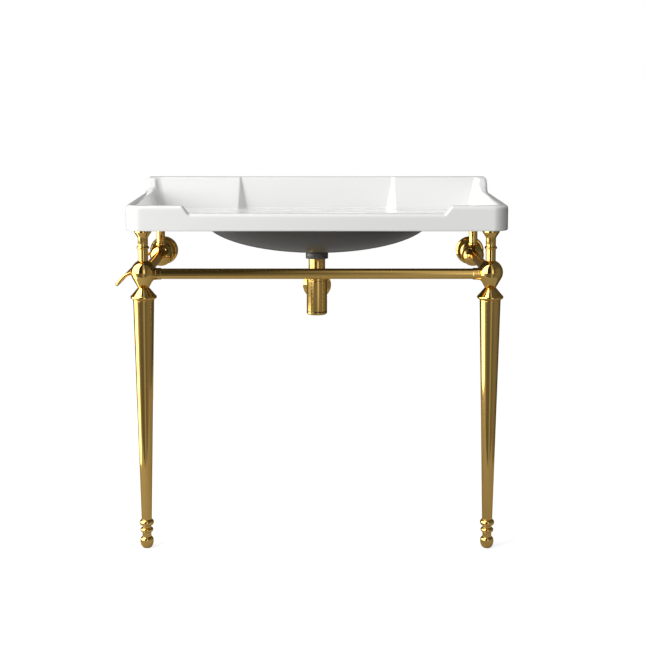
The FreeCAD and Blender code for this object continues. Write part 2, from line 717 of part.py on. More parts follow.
def make_bulb(side, sign, at):
    """The pear-shaped tee: turned, with a socket for each rail and holes for their grub screws."""
    pear = turned("pear_" + side, [
        ("0", "cap_top + stud_depth"),
        ("stud_radius", "cap_top + stud_depth"),
        ("stud_radius", "cap_top"),
        ("cap_top_radius", "cap_top"),
        ("bulb_side_radius", "bulb_side_height", "bulb_round", "left"),
        ("stem_radius", "stem_bottom"),
        ("stud_radius", "stem_bottom"),
        ("stud_radius", "stem_bottom - stud_depth"),
        ("0", "stem_bottom - stud_depth"),
    ], at)
    leg_x, leg_y, floor = at
    inner_x = f"{leg_x} - {sign} * socket_floor"
    rear_y = f"{leg_y} + socket_floor"
    reach = "boss_reach - socket_floor"
    solid = united("bulb_casting_" + side, [
        pear,
        rod((inner_x, leg_y, "rail_height"), (-sign, 0, 0), "front_rail_radius + boss_wall", reach),
        rod((leg_x, rear_y, "rail_height"), (0, 1, 0), "side_rail_radius + boss_wall", reach),
    ])
    drills = [
        rod((inner_x, leg_y, "rail_height"), (-sign, 0, 0), "front_rail_radius", "boss_reach"),
        rod((leg_x, rear_y, "rail_height"), (0, 1, 0), "side_rail_radius", "boss_reach"),
        rod((f"{leg_x} - {sign} * front_screw_offset", leg_y, "rail_height"), (0, 0, -1),
            "screw_radius", "bulb_round"),
        rod((leg_x, f"{leg_y} + front_screw_offset", "rail_height"), (0, 0, -1),
            "screw_radius", "bulb_round"),
    ]
    if side == "left":
        drills.append(rod((f"{leg_x} - rod_start", leg_y, "rod_height"), arm_direction(),
                          "rod_radius", "bulb_round"))
    keep(drilled("front_bulb_" + side, solid, drills), "front_bulb_" + side)


def make_stem(side, at):
    """The stem with its ring and flared head, and the rubber pad between it and the basin."""
    keep(turned("upper_stem_" + side, [
        ("stud_radius", "stem_bottom"),
        ("stem_radius", "stem_bottom"),
        ("stem_radius", "stem_ring_bottom", "stem_ring_round", "left"),
        ("stem_radius", "stem_ring_top"),
        ("stem_radius", "flare_bottom", "flare_round", "right"),
        ("flare_mid_radius", "flare_mid"),
        ("flare_radius", "flare_top"),
        ("flare_radius", "stand_top"),
        ("0", "stand_top"),
        ("0", "stem_bottom + stud_depth"),
        ("stud_radius", "stem_bottom + stud_depth"),
    ], at), "upper_stem_" + side)
    keep(disc("top_pad_" + side, "top_pad_radius", "stand_top", "underside_height", at),
         "top_pad_" + side)


def disc(name, radius, bottom, top, at):
    return turned(name, [("0", bottom), (radius, bottom), (radius, top), ("0", top)], at)


def make_rear_post(side, sign, at):
    """The rear ball, which joins rail, post and wall stub, and the post that carries the basin."""
    ball = turned("ball_" + side, [
        ("0", "rear_ball_bottom"),
        ("rear_ball_foot", "rear_ball_bottom", "rear_ball_radius", "left"),
        ("rear_ball_flat", "rear_ball_top"),
        ("stud_radius", "rear_ball_top"),
        ("stud_radius", "rear_ball_top - stud_depth"),
        ("0", "rear_ball_top - stud_depth"),
    ], at)
    x, y, floor = at
    drills = []
    for way in (-1, 1):
        end_y = f"{y} + {way} * rear_socket_floor"
        screw_y = f"{y} + {way} * rear_screw_offset"
        drills.append(rod((x, end_y, "rail_height"), (0, way, 0),
                          "side_rail_radius", "rear_ball_radius"))
        drills.append(rod((x, screw_y, "rail_height"), rear_screw_way(sign),
                          "screw_radius", "rear_ball_radius"))
    if side == "left":
        drills.append(rod((f"{x} - rod_start", y, "rod_height"), arm_direction(),
                          "rod_radius", "rear_ball_radius"))
    keep(drilled("rear_ball_" + side, ball, drills), "rear_ball_" + side)
    keep(turned("rear_post_" + side, [
        ("stud_radius", "rear_ball_top"),
        ("rear_ball_flat", "rear_ball_top"),
        ("post_collar", "post_collar_edge"),
        ("post_collar", "post_collar_top"),
        ("post_radius", "post_collar_end"),
        ("post_radius", "stand_top"),
        ("0", "stand_top"),
        ("0", "rear_ball_top + stud_depth"),
        ("stud_radius", "rear_ball_top + stud_depth"),
    ], at), "rear_post_" + side)
    keep(disc("rear_pad_" + side, "rear_pad_radius", "stand_top", "underside_height", at),
         "rear_pad_" + side)


def make_wall_fixing(side, x, rear_y):
    """The stub, the dome that takes it and screws on the wall's hanger bolt, and the wall flange."""
    stub_y = f"{rear_y} + rear_socket_floor"
    length = "rear_setback - rear_socket_floor - stub_floor"
    keep(tube("wall_stub_" + side, "side_rail_radius", "side_rail_radius - rail_wall", length,
              (x, stub_y, "rail_height"), (0, 1, 0)), "wall_stub_" + side)
    wall = (x, "0", "rail_height")
    keep(turned("rosette_" + side, [
        ("fixing_radius", "0"),
        ("hub_radius", "0"),
        ("hub_radius", "flange_depth"),
        ("dome_radius", "flange_depth", "dome_round", "left"),
        ("dome_face", "dome_depth"),
        ("side_rail_radius", "dome_depth"),
        ("side_rail_radius", "stub_floor"),
        ("0", "stub_floor"),
        ("0", "fixing_depth"),
        ("fixing_radius", "fixing_depth"),
    ], wall, (0, -1, 0)), "rosette_" + side)
    keep(turned("wall_flange_" + side, [
        ("hub_radius", "0"),
        ("flange_radius", "0"),
        ("flange_radius", "flange_edge"),
        ("flange_bevel_radius", "flange_depth"),
        ("hub_radius", "flange_depth"),
    ], wall, (0, -1, 0)), "wall_flange_" + side)


def make_side(side, sign):
    """Everything on one side of the stand."""
    x = f"{sign} * leg_spread"
    leg = (x, "-leg_setback", "0")
    rear = (x, "-rear_setback", "0")
    make_foot(side, leg)
    make_leg(side, leg)
    make_bulb(side, sign, leg)
    make_stem(side, leg)
    make_rear_post(side, sign, rear)
    make_wall_fixing(side, x, "-rear_setback")
    rail_length = "leg_setback - rear_setback - socket_floor - rear_socket_floor"
    keep(tube("side_rail_" + side, "side_rail_radius", "side_rail_radius - rail_wall", rail_length,
              (x, "socket_floor - leg_setback", "rail_height"), (0, 1, 0)), "side_rail_" + side)
    collar_x = f"{x} - {sign} * boss_reach"
    keep(turned("front_collar_" + side, [
        ("front_rail_radius", "0"),
        ("collar_radius - collar_edge", "0"),
        ("collar_radius", "collar_edge"),
        ("collar_radius", "collar_length - collar_edge"),
        ("collar_radius - collar_edge", "collar_length"),
        ("front_rail_radius", "collar_length"),
    ], (collar_x, "-leg_setback", "rail_height"), (-sign, 0, 0)), "front_collar_" + side)


def make_front_rail():
    start = ("socket_floor - leg_spread", "-leg_setback", "rail_height")
    length = "2 * (leg_spread - socket_floor)"
    keep(tube("front_rail", "front_rail_radius", "front_rail_radius - rail_wall", length,
              start, (1, 0, 0)), "front_rail")


def make_joining_studs():
    """The threaded studs inside the columns: cap to bulb, bulb to stem and ball to rear post."""
    studs = []
    for sign in (-1, 1):
        x = f"{sign} * leg_spread"
        for y, joint in (("-leg_setback", "cap_top"), ("-leg_setback", "stem_bottom"),
                         ("-rear_setback", "rear_ball_top")):
            studs.append(rod((x, y, f"{joint} - stud_depth"), (0, 0, 1),
                             "stud_radius", "2 * stud_depth"))
    keep(united("joining_studs", studs), "joining_studs")


def make_grub_screws():
    """The grub screws that bear on the rails' ends, two in each bulb and two in each rear ball."""
    screws = []
    gap = "side_rail_radius + screw_gap"
    for sign in (-1, 1):
        x = f"{sign} * leg_spread"
        way = rear_screw_way(sign)
        rear_spot = f"{x} + {way[0]} * ({gap})", f"rail_height + {way[2]} * ({gap})"
        for spot_x, spot_y in (
                (f"{x} - {sign} * front_screw_offset", "-leg_setback"),
                (x, "front_screw_offset - leg_setback")):
            screws.append(rod((spot_x, spot_y, f"rail_height - ({gap})"), (0, 0, -1),
                              "screw_radius", "screw_length"))
        for offset in ("rear_screw_offset", "-rear_screw_offset"):
            screws.append(rod((rear_spot[0], f"{offset} - rear_setback", rear_spot[1]), way,
                              "screw_radius", "screw_length"))
    keep(united("grub_screws", screws), "grub_screws")


# ---------------------------------------------------------------- towel rail
def rounded_path(points, radii):
    """A wire of straight runs through the points, with each inner corner rounded by its radius."""
    edges = []
    start = points[0]
    for index, radius in enumerate(radii, start=1):
        corner = points[index]
        back = (points[index - 1] - corner).normalize()
        ahead = (points[index + 1] - corner).normalize()
        half_angle = back.getAngle(ahead) / 2
        reach = radius / math.tan(half_angle)
        centre = corner + (back + ahead).normalize() * (radius / math.sin(half_angle))
        middle = centre + (corner - centre).normalize() * radius
        first = corner + back * reach
        last = corner + ahead * reach
        edges.append(Part.LineSegment(start, first).toShape())
        edges.append(Part.Arc(first, middle, last).toShape())
        start = last
    edges.append(Part.LineSegment(start, points[-1]).toShape())
    return Part.Wire(edges)


def make_towel_rail():
    """A rod from the left bulb to the left rear ball: an arm out and down, the side bar, an arm back."""
    end = "-leg_spread - rod_start"
    bend = "-leg_spread - rod_bend"
    bar = "-leg_spread - rod_reach"
    points = []
    for axis, order in (("-leg_setback", 1), ("-rear_setback", -1)):
        arm = [
            point(end, axis, "rod_height"),
            point(bend, axis, "rod_height - rod_bend_drop"),
            point(bar, axis, "rod_height - rod_drop"),
        ]
        points += arm[::order]
    arm_round = amount("rod_arm_round")
    corner = amount("rod_corner")
    path = rounded_path(points, [arm_round, corner, corner, arm_round])
    circle = Part.Circle(points[0], points[1] - points[0], amount("rod_radius"))
    shape = path.makePipeShell([Part.Wire(circle.toShape())], True, False)
    rail = doc.addObject("Part::Feature", "towel_rail")
    rail.Shape = shape
    print("towel rail length", round(path.Length, 1), "mm")
    keep(rail, "towel_rail")


# ---------------------------------------------------------------- waste and trap
WASTE = ("0", "-bowl_setback", "0")


def make_waste():
    """The flange that screws into the tail through the boss, and the rubber between them."""
    flange = turned("waste_flange_casting", [
        ("sleeve_bore", "sleeve_bottom"),
        ("sleeve_radius", "sleeve_bottom"),
        ("sleeve_radius", "seat_height"),
        ("waste_flange_radius", "seat_height"),
        ("waste_flange_radius", "waste_flange_edge"),
        ("waste_bore_top + china", "waste_flange_top"),
        ("waste_bore_top", "waste_flange_top"),
        ("sleeve_bore", "waste_flange_top - china"),
    ], WASTE)
    keep(flange, "waste_flange")
    keep(turned("waste_gasket", [
        ("sleeve_radius", "gasket_bottom"),
        ("boss_radius", "gasket_bottom"),
        ("boss_radius", "boss_height"),
        ("sleeve_radius", "boss_height"),
    ], WASTE), "waste_gasket")
    keep(turned("waste_tail", [
        ("dip_radius", "tail_bottom"),
        ("tail_radius", "tail_bottom"),
        ("tail_radius", "gasket_bottom"),
        ("sleeve_radius", "gasket_bottom"),
        ("sleeve_radius", "sleeve_bottom"),
        ("sleeve_bore - dip_wall", "sleeve_bottom"),
        ("sleeve_bore - dip_wall", "dip_top"),
        ("dip_radius", "dip_top"),
    ], WASTE), "waste_tail")
    keep(tube("dip_tube", "dip_radius", "dip_radius - dip_wall", "dip_top - dip_bottom",
              ("0", "-bowl_setback", "dip_bottom"), (0, 0, 1)), "dip_tube")


def make_plug():
    """The push plug, its seal, and the cartridge that guides it on three arms over its spring."""
    keep(turned("click_plug", [
        ("0", "plug_foot_bottom"),
        ("plug_foot_radius", "plug_foot_bottom"),
        ("plug_foot_radius", "plug_foot_top"),
        ("plug_stem_radius", "plug_foot_top"),
        ("plug_stem_radius", "plug_bottom"),
        ("plug_radius", "plug_bottom"),
        ("plug_radius", "plug_edge", "plug_crown_round", "left"),
        ("plug_stem_radius", "plug_crown"),
        ("0", "plug_crown"),
    ], WASTE), "click_plug")
    keep(turned("plug_seal", [
        ("seal_inner", "seal_bottom"),
        ("seal_outer", "seal_bottom"),
        ("seal_outer", "plug_bottom"),
        ("seal_inner", "plug_bottom"),
    ], WASTE), "plug_seal")
    barrel = turned("cartridge_barrel", [
        ("0", "cartridge_bottom"),
        ("cartridge_radius", "cartridge_bottom"),
        ("cartridge_radius", "cartridge_top"),
        ("cartridge_guide", "cartridge_top"),
        ("cartridge_guide", "cartridge_lid"),
        ("cartridge_bore", "cartridge_lid"),
        ("cartridge_bore", "cartridge_floor"),
        ("0", "cartridge_floor"),
    ], WASTE)
    keep(united("cartridge", [barrel] + [make_spoke(angle) for angle in (90, 210, 330)]),
         "cartridge")
    make_spring()


def make_spoke(angle):
    """One arm from the cartridge's barrel to the sleeve's bore."""
    spoke = doc.addObject("Part::Box", "spoke")
    spoke.setExpression("Length", bound("spoke_reach - cartridge_radius + thread_gap"))
    spoke.setExpression("Width", bound("spoke_width"))
    spoke.setExpression("Height", bound("spoke_height"))
    turn = FreeCAD.Rotation(Vector(0, 0, 1), angle)
    corner = turn.multVec(Vector(amount("cartridge_radius - thread_gap"),
                                 -amount("spoke_width") / 2, 0))
    spoke.Placement = FreeCAD.Placement(
        corner + point("0", "-bowl_setback", "cartridge_bottom"), turn)
    return spoke


def make_spring():
    """The plug's spring, pressed down: a wire on a helix, drawn as short arcs through its points."""
    radius = amount("spring_radius")
    pitch = amount("spring_pitch")
    wire_radius = amount("spring_wire")
    steps_in_turn = 8

    def on_helix(step):
        angle = 2 * math.pi * step / steps_in_turn
        return Vector(radius * math.cos(angle), radius * math.sin(angle),
                      pitch * step / steps_in_turn)

    arcs = []
    for start in range(0, int(amount("spring_turns")) * steps_in_turn, 2):
        ends = [on_helix(start + step) for step in range(3)]
        arcs.append(Part.Arc(*ends).toShape())
    ahead = on_helix(0.01) - on_helix(0)
    section = Part.Wire(Part.Circle(on_helix(0), ahead, wire_radius).toShape())
    spring = doc.addObject("Part::Feature", "cartridge_spring")
    spring.Shape = Part.Wire(arcs).makePipeShell([section], True, False)
    place(spring, ("0", "-bowl_setback", "cartridge_floor + spring_wire + thread_gap"))
    print("spring gap between turns", round(pitch - 2 * wire_radius, 2), "mm")
    keep(spring, "cartridge_spring")


def make_trap():
    """The bottle with its outlet spigot, the inlet nut and seal, and the cleaning cap below."""
    bottle = turned("bottle", [
        ("trap_bore", "trap_edge"),
        ("trap_radius", "trap_edge"),
        ("trap_radius", "trap_shoulder"),
        ("trap_neck_radius", "trap_shoulder"),
        ("trap_neck_radius", "trap_neck_top"),
        ("trap_neck_bore", "trap_neck_top"),
        ("trap_neck_bore", "trap_neck_floor"),
        ("trap_bore", "trap_neck_floor"),
    ], WASTE)
    start = ("0", "-bowl_setback + cap_plug_radius", "outlet_height")
    spigot = rod(start, (0, 1, 0), "spigot_radius", "spigot_reach - cap_plug_radius")
    inside = rod(("0", "-bowl_setback", "outlet_height"), (0, 1, 0), "trap_bore", "cap_plug_radius")
    outer = drilled("spigot_outer", spigot, [inside])
    body = united("trap_casting", [bottle, outer])
    bore = rod(("0", "-bowl_setback", "outlet_height"), (0, 1, 0),
               "outlet_radius + slip_gap", "2 * spigot_reach")
    keep(drilled("trap_body", body, [bore]), "trap_body")
    keep(turned("trap_inlet_nut", [
        ("trap_neck_radius", "inlet_nut_bottom"),
        ("inlet_nut_radius", "inlet_nut_bottom"),
        ("inlet_nut_radius", "inlet_nut_top"),
        ("tail_radius", "inlet_nut_top"),
        ("tail_radius", "inlet_nut_lid"),
        ("trap_neck_radius", "inlet_nut_lid"),
    ], WASTE), "trap_inlet_nut")
    keep(turned("trap_inlet_seal", [
        ("tail_radius", "trap_neck_top"),
        ("trap_neck_radius", "trap_neck_top"),
        ("trap_neck_radius", "inlet_seal_top"),
        ("tail_radius", "inlet_seal_top"),
    ], WASTE), "trap_inlet_seal")
    keep(turned("trap_cap", [
        ("0", "trap_bottom"),
        ("trap_radius - trap_chamfer", "trap_bottom"),
        ("trap_radius", "trap_bottom + trap_chamfer"),
        ("trap_radius", "cap_top_face"),
        ("cap_plug_radius", "cap_top_face"),
        ("cap_plug_radius", "cap_plug_top"),
        ("cap_plug_bore", "cap_plug_top"),
        ("cap_plug_bore", "cap_plug_floor"),
        ("0", "cap_plug_floor"),
    ], WASTE), "trap_cap")
    keep(turned("cap_seal", [
        ("cap_plug_radius + thread_gap", "cap_top_face + thread_gap"),
        ("trap_radius", "cap_top_face + thread_gap"),
        ("trap_radius", "trap_edge - thread_gap"),
        ("cap_plug_radius + thread_gap", "trap_edge - thread_gap"),
    ], WASTE), "cap_seal")


def make_outlet():
    """The pipe to the wall, the nut and seal that hold it in the spigot, and its wall plate."""
    axis = ("0", "-bowl_setback", "outlet_height")
    keep(turned("outlet_pipe", [
        ("outlet_radius - outlet_wall", "outlet_start"),
        ("outlet_radius", "outlet_start"),
        ("outlet_radius", "bowl_setback + outlet_end_start"),
        ("outlet_end_radius", "bowl_setback + outlet_end_cone"),
        ("outlet_end_radius", "bowl_setback + outlet_past_wall"),
        ("outlet_radius - outlet_wall", "bowl_setback + outlet_past_wall"),
    ], axis, (0, 1, 0)), "outlet_pipe")
    keep(turned("outlet_nut", [
        ("spigot_radius", "outlet_nut_start"),
        ("outlet_nut_radius", "outlet_nut_start"),
        ("outlet_nut_radius", "outlet_nut_end"),
        ("outlet_radius", "outlet_nut_end"),
        ("outlet_radius", "outlet_nut_lid"),
        ("spigot_radius", "outlet_nut_lid"),
    ], axis, (0, 1, 0)), "outlet_nut")
    keep(turned("outlet_seal", [
        ("outlet_radius", "spigot_reach"),
        ("spigot_radius", "spigot_reach"),
        ("spigot_radius", "outlet_nut_lid"),
        ("outlet_radius", "outlet_nut_lid"),
    ], axis, (0, 1, 0)), "outlet_seal")
    keep(turned("wall_escutcheon", [
        ("outlet_radius + slip_gap", "0"),
        ("escutcheon_radius", "0"),
        ("escutcheon_radius", "escutcheon_edge"),
        ("escutcheon_shoulder", "escutcheon_depth"),
        ("outlet_radius + slip_gap", "escutcheon_depth"),
    ], ("0", "0", "outlet_height"), (0, -1, 0)), "wall_escutcheon")


# ---------------------------------------------------------------- build, check and write
def check_model():
    """Stop if an object failed to compute or a sub-part isn't a sound solid."""
    for item in doc.Objects:
        if "Invalid" in item.State or "Error" in item.State:
            raise ValueError(f"{item.Name} failed: {item.State}")
    for node in NODES:
        if node.Shape.isNull() or not node.Shape.isValid() or not node.Shape.Solids:
            raise ValueError(f"{node.Label} isn't a valid solid")


def write_parts():
    os.makedirs("parts", exist_ok=True)
    for node in NODES:
        node.Shape.exportStep(f"parts/{node.Label}.step")
    print(len(NODES), "sub-parts written")


make_basin()
for side, sign in (("left", -1), ("right", 1)):
    make_side(side, sign)
make_front_rail()
make_joining_studs()
make_grub_screws()
make_towel_rail()
make_waste()
make_plug()
make_trap()
make_outlet()
doc.recompute()
check_model()
write_parts()
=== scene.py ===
# %% [markdown]
# # A console sink on a turned brass stand
#
# The part is a white glazed basin that stands on two turned brass legs in front and is held to the
# wall by two domes behind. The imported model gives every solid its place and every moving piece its
# joint. This lesson dresses those solids: it makes smooth surfaces with numpy, gives them finishes
# made of shader nodes, and lights them like a studio photograph on white.

# %% Load the frame
import json
import math

import bpy
import numpy as np
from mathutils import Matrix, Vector


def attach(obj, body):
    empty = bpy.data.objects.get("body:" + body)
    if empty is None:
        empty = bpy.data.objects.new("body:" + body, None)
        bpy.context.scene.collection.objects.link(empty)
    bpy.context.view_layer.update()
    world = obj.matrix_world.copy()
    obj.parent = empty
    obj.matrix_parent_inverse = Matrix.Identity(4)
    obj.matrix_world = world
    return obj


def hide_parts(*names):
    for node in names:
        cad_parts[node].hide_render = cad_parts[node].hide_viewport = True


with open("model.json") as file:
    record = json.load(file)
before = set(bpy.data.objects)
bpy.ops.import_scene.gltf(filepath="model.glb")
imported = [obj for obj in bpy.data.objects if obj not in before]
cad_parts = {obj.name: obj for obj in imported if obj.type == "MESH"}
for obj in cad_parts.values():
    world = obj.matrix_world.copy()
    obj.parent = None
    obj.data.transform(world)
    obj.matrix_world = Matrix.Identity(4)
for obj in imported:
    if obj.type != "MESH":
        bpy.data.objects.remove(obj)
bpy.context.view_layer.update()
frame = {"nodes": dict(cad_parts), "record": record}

MM = 0.001

# %% [markdown]
# ## Camera
#
# The photograph looks at the sink from in front, from a little over chest height, with a long
# lens. Its upright lines stay upright, which a view camera does by sliding its lens down. Most of
# the look down is given to the camera's tilt here, and the rest to a small slide of the lens, so
# that the same camera also works from the other sides. The price is that the legs lean in a little.

# %% Camera
LOOK_DOWN = 6.395
camera_data = bpy.data.cameras.new("camera")
camera_data.sensor_width = 36
camera_data.lens = 76.97
camera_data.shift_x = 0.0094
camera_data.shift_y = -0.14
camera = bpy.data.objects.new("camera", camera_data)
camera.location = (0, -3.769, 1.1526)
camera.rotation_euler = (math.radians(90 - LOOK_DOWN), 0, 0)
bpy.context.collection.objects.link(camera)
bpy.context.scene.camera = camera

# %% [markdown]
# ## Shader maths in Python
#
# A finish is a graph of nodes, and drawing one wire at a time hides the idea. The class below wraps
# one socket, so that `mask * 0.3 + 0.1` adds the Math nodes that work it out. Every other node
# comes from `node`, which takes its type, its settings and what goes into its sockets.

# %% Sockets as values
class Value:
    """A shader socket that can stand in an expression."""

    def __init__(self, tree, socket):
        self.tree = tree
        self.socket = socket

    def out(self, name):
        """Another output of the same node."""
        return Value(self.tree, self.socket.node.outputs[name])

    def math(self, operation, other):
        return node(self.tree, "Math", {"operation": operation}, {0: self, 1: other})

    def __add__(self, other):
        return self.math("ADD", other)

    def __sub__(self, other):
        return self.math("SUBTRACT", other)

    def __mul__(self, other):
        return self.math("MULTIPLY", other)

    def __truediv__(self, other):
        return self.math("DIVIDE", other)

    def clamp(self):
        return node(self.tree, "Clamp", {}, {"Value": self})


def node(tree, kind, settings=None, inputs=None):
    """Add a node: settings first, stops for a ramp, then values or links for its sockets."""
    made = tree.nodes.new("ShaderNode" + kind)
    for name, setting in (settings or {}).items():
        if name == "stops":
            ramp = made.color_ramp
            while len(ramp.elements) < len(setting):
                ramp.elements.new(0.5)
            for element, (position, colour) in zip(ramp.elements, setting):
                element.position = position
                element.color = (*colour, 1)
        else:
            setattr(made, name, setting)
    for name, given in (inputs or {}).items():
        if isinstance(given, Value):
            tree.links.new(given.socket, made.inputs[name])
        else:
            made.inputs[name].default_value = given
    shown = [output for output in made.outputs if output.enabled]
    return Value(tree, shown[0] if shown else None) if made.outputs else made


def new_finish(name):
    """An empty material and its node tree."""
    material = bpy.data.materials.new(name)
    material.use_nodes = True
    material.node_tree.nodes.clear()
    return material, material.node_tree


def finish_with(tree, shader):
    node(tree, "OutputMaterial", {}, {"Surface": shader})


def object_noise(tree, scale, detail):
    """Noise in the object's own metres."""
    where = node(tree, "TexCoord").out("Object")
    return node(tree, "TexNoise", {}, {"Vector": where, "Scale": scale, "Detail": detail,
                                       "Roughness": 0.5})


def blend(tree, amount, first, second):
    """A colour between two colours."""
    return node(tree, "Mix", {"data_type": "RGBA"}, {0: amount, 6: first, 7: second}).out("Result")


# %% [markdown]
# ## Finishes
#
# Polished brass is a metal with a yellow tint and very little roughness. A real one is never quite
# even: lacquer and fingers leave faint clouds in its gloss, and it is a touch darker where polish
# doesn't reach. Clouds of noise vary the colour a little, and the roughness by a few hundredths.

# %% Brass
def make_brass(name, light, dark, rough):
    material, tree = new_finish(name)
    clouds = object_noise(tree, 9.0, 4.0)
    fine = object_noise(tree, 160.0, 3.0)
    colour = blend(tree, clouds, (*dark, 1), (*light, 1))
    roughness = clouds * 0.05 + fine * 0.03 + rough
    bump = node(tree, "Bump", {}, {"Strength": 0.02, "Distance": 0.0004, "Height": fine})
    shader = node(tree, "BsdfPrincipled", {}, {
        "Base Color": colour, "Metallic": 1.0, "Roughness": roughness, "Normal": bump,
        "Specular Tint": (0.92, 0.68, 0.34, 1)})
    finish_with(tree, shader)
    return material


brass = make_brass("polished_brass", (0.80, 0.53, 0.17), (0.70, 0.44, 0.12), 0.04)

# %% [markdown]
# Vitreous china is white clay under a thick clear glaze. The glaze is the coat, smooth as glass.
# The white under it has a trace of warmth and waves too shallow to see except in a reflection.
# Under the tray and the bowl the same china is made dark grey: painted shade, standing in for the
# shadow there.

# %% Glazed china
def make_china(name, light, dark, rough, coat):
    material, tree = new_finish(name)
    clouds = object_noise(tree, 2.5, 0.0)
    waves = object_noise(tree, 14.0, 1.0)
    colour = blend(tree, clouds, (*dark, 1), (*light, 1))
    bump = node(tree, "Bump", {}, {"Strength": 0.01, "Distance": 0.002, "Height": waves})
    shader = node(tree, "BsdfPrincipled", {}, {
        "Base Color": colour, "Roughness": clouds * 0.06 + rough, "Coat Weight": coat,
        "Coat Roughness": 0.03, "Normal": bump})
    finish_with(tree, shader)
    return material


glaze = make_china("glazed_china", (0.86, 0.86, 0.85), (0.84, 0.84, 0.83), 0.18, 0.6)
# painted shade: a near-black grey stands in for the shadow under the tray and the bowl
shaded_underside = make_china("bowl_underside_painted_shade", (0.105, 0.103, 0.094), (0.085, 0.083, 0.076), 0.35, 0.2)

# %% [markdown]
# The small parts that a visitor never sees still get a finish of their own: black rubber with a
# dull, slightly mottled skin, grey moulded plastic, and steel with a fine grain, plain or
# blackened.

# %% Rubber, plastic and steel
def make_dull(name, light, dark, rough, metallic, scale):
    material, tree = new_finish(name)
    grain = object_noise(tree, scale, 5.0)
    colour = blend(tree, grain, (*dark, 1), (*light, 1))
    bump = node(tree, "Bump", {}, {"Strength": 0.15, "Distance": 0.0002, "Height": grain})
    shader = node(tree, "BsdfPrincipled", {}, {
        "Base Color": colour, "Metallic": metallic, "Roughness": grain * 0.2 + rough,
        "Normal": bump})
    finish_with(tree, shader)
    return material


rubber = make_dull("black_rubber", (0.035, 0.035, 0.035), (0.018, 0.018, 0.018), 0.55, 0.0, 700.0)
grey_rubber = make_dull("grey_rubber", (0.13, 0.128, 0.12), (0.10, 0.098, 0.092), 0.55, 0.0, 700.0)
plastic = make_dull("moulded_plastic", (0.42, 0.42, 0.43), (0.36, 0.36, 0.37), 0.35, 0.0, 500.0)
black_steel = make_dull("blackened_steel", (0.06, 0.06, 0.06), (0.03, 0.03, 0.03), 0.4, 1.0, 900.0)
steel = make_dull("brushed_steel", (0.62, 0.62, 0.63), (0.48, 0.48, 0.50), 0.2, 1.0, 900.0)

# %% [markdown]
# ## Grid surfaces
#
# Nearly everything here is a grid: one direction runs along a profile and the other carries that
# profile round an axis or round the drain. The points come from whole-array formulas, and the faces
# from one block of indices.

# %% A mesh from a grid of points
def grid_mesh(name, points, material, body="root", closed_profile=True):
    """points[i, j] is station i round the piece and place j along its profile; stations close up.

    The profile either closes too, or its two ends lie on the axis and become poles.
    """
    stations, places, _ = points.shape
    around = np.arange(stations)
    ahead = (around + 1) % stations

    def quads(width, along, beyond):
        """Faces between each station and the next, and each place and the one beyond it."""
        corners = [(around, along), (ahead, along), (ahead, beyond), (around, beyond)]
        block = np.stack([i[:, None] * width + j[None, :] for i, j in corners], axis=-1)
        return block.reshape(-1, 4).tolist()

    if closed_profile:
        along = np.arange(places)
        vertices = points.reshape(-1, 3)
        faces = quads(places, along, (along + 1) % places)
    else:
        inner = places - 2
        body_points = points[:, 1:-1].reshape(-1, 3)
        vertices = np.vstack([body_points, points[0, 0], points[0, -1]])
        along = np.arange(inner - 1)
        first, last = len(body_points), len(body_points) + 1
        start_fan = np.stack([np.full(stations, first), ahead * inner, around * inner], axis=-1)
        end_fan = np.stack([around * inner + inner - 1, ahead * inner + inner - 1,
                            np.full(stations, last)], axis=-1)
        faces = quads(inner, along, along + 1) + start_fan.tolist() + end_fan.tolist()
    mesh = bpy.data.meshes.new(name)
    mesh.from_pydata(vertices.tolist(), [], faces)
    mesh.validate()
    mesh.shade_smooth()
    piece = bpy.data.objects.new(name, mesh)
    bpy.context.collection.objects.link(piece)
    piece.data.materials.append(material)
    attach(piece, body)
    return piece


# %% [markdown]
# A lathe cuts a profile of straight runs and arcs. No real edge is sharp, so each corner of the
# profile gets a small round: a circle's arc, written as a rational curve between its two tangent
# points. The runs next to a round get one more point close by, so that smooth shading stays flat.

# %% Profiles with rounded corners
def arc_between(start, end, radius, turn, steps=14):
    """The short arc from start to end, which turns left or right; end is left out."""
    chord = end - start
    length = np.linalg.norm(chord)
    depth = math.sqrt(radius**2 - length**2 / 4)
    side = np.array([-chord[1], chord[0]]) / length
    centre = (start + end) / 2 + side * (depth if turn == "left" else -depth)
    first = start - centre
    sweep = 2 * math.asin(length / 2 / radius) * (1 if turn == "left" else -1)
    angles = np.linspace(0, sweep, steps, endpoint=False)
    turned_x = first[0] * np.cos(angles) - first[1] * np.sin(angles)
    turned_y = first[0] * np.sin(angles) + first[1] * np.cos(angles)
    return centre + np.stack([turned_x, turned_y], axis=-1)


def outline_corners(outline):
    """Corners of an outline of (radius, height) points; one with a bend starts an arc."""
    given = [np.array(corner[:2], dtype=float) for corner in outline]
    runs = []
    for index, corner in enumerate(outline):
        if len(corner) == 4:
            after = given[(index + 1) % len(outline)]
            runs.append(arc_between(given[index], after, corner[2], corner[3]))
        else:
            runs.append(given[index][None])
    return np.vstack(runs)


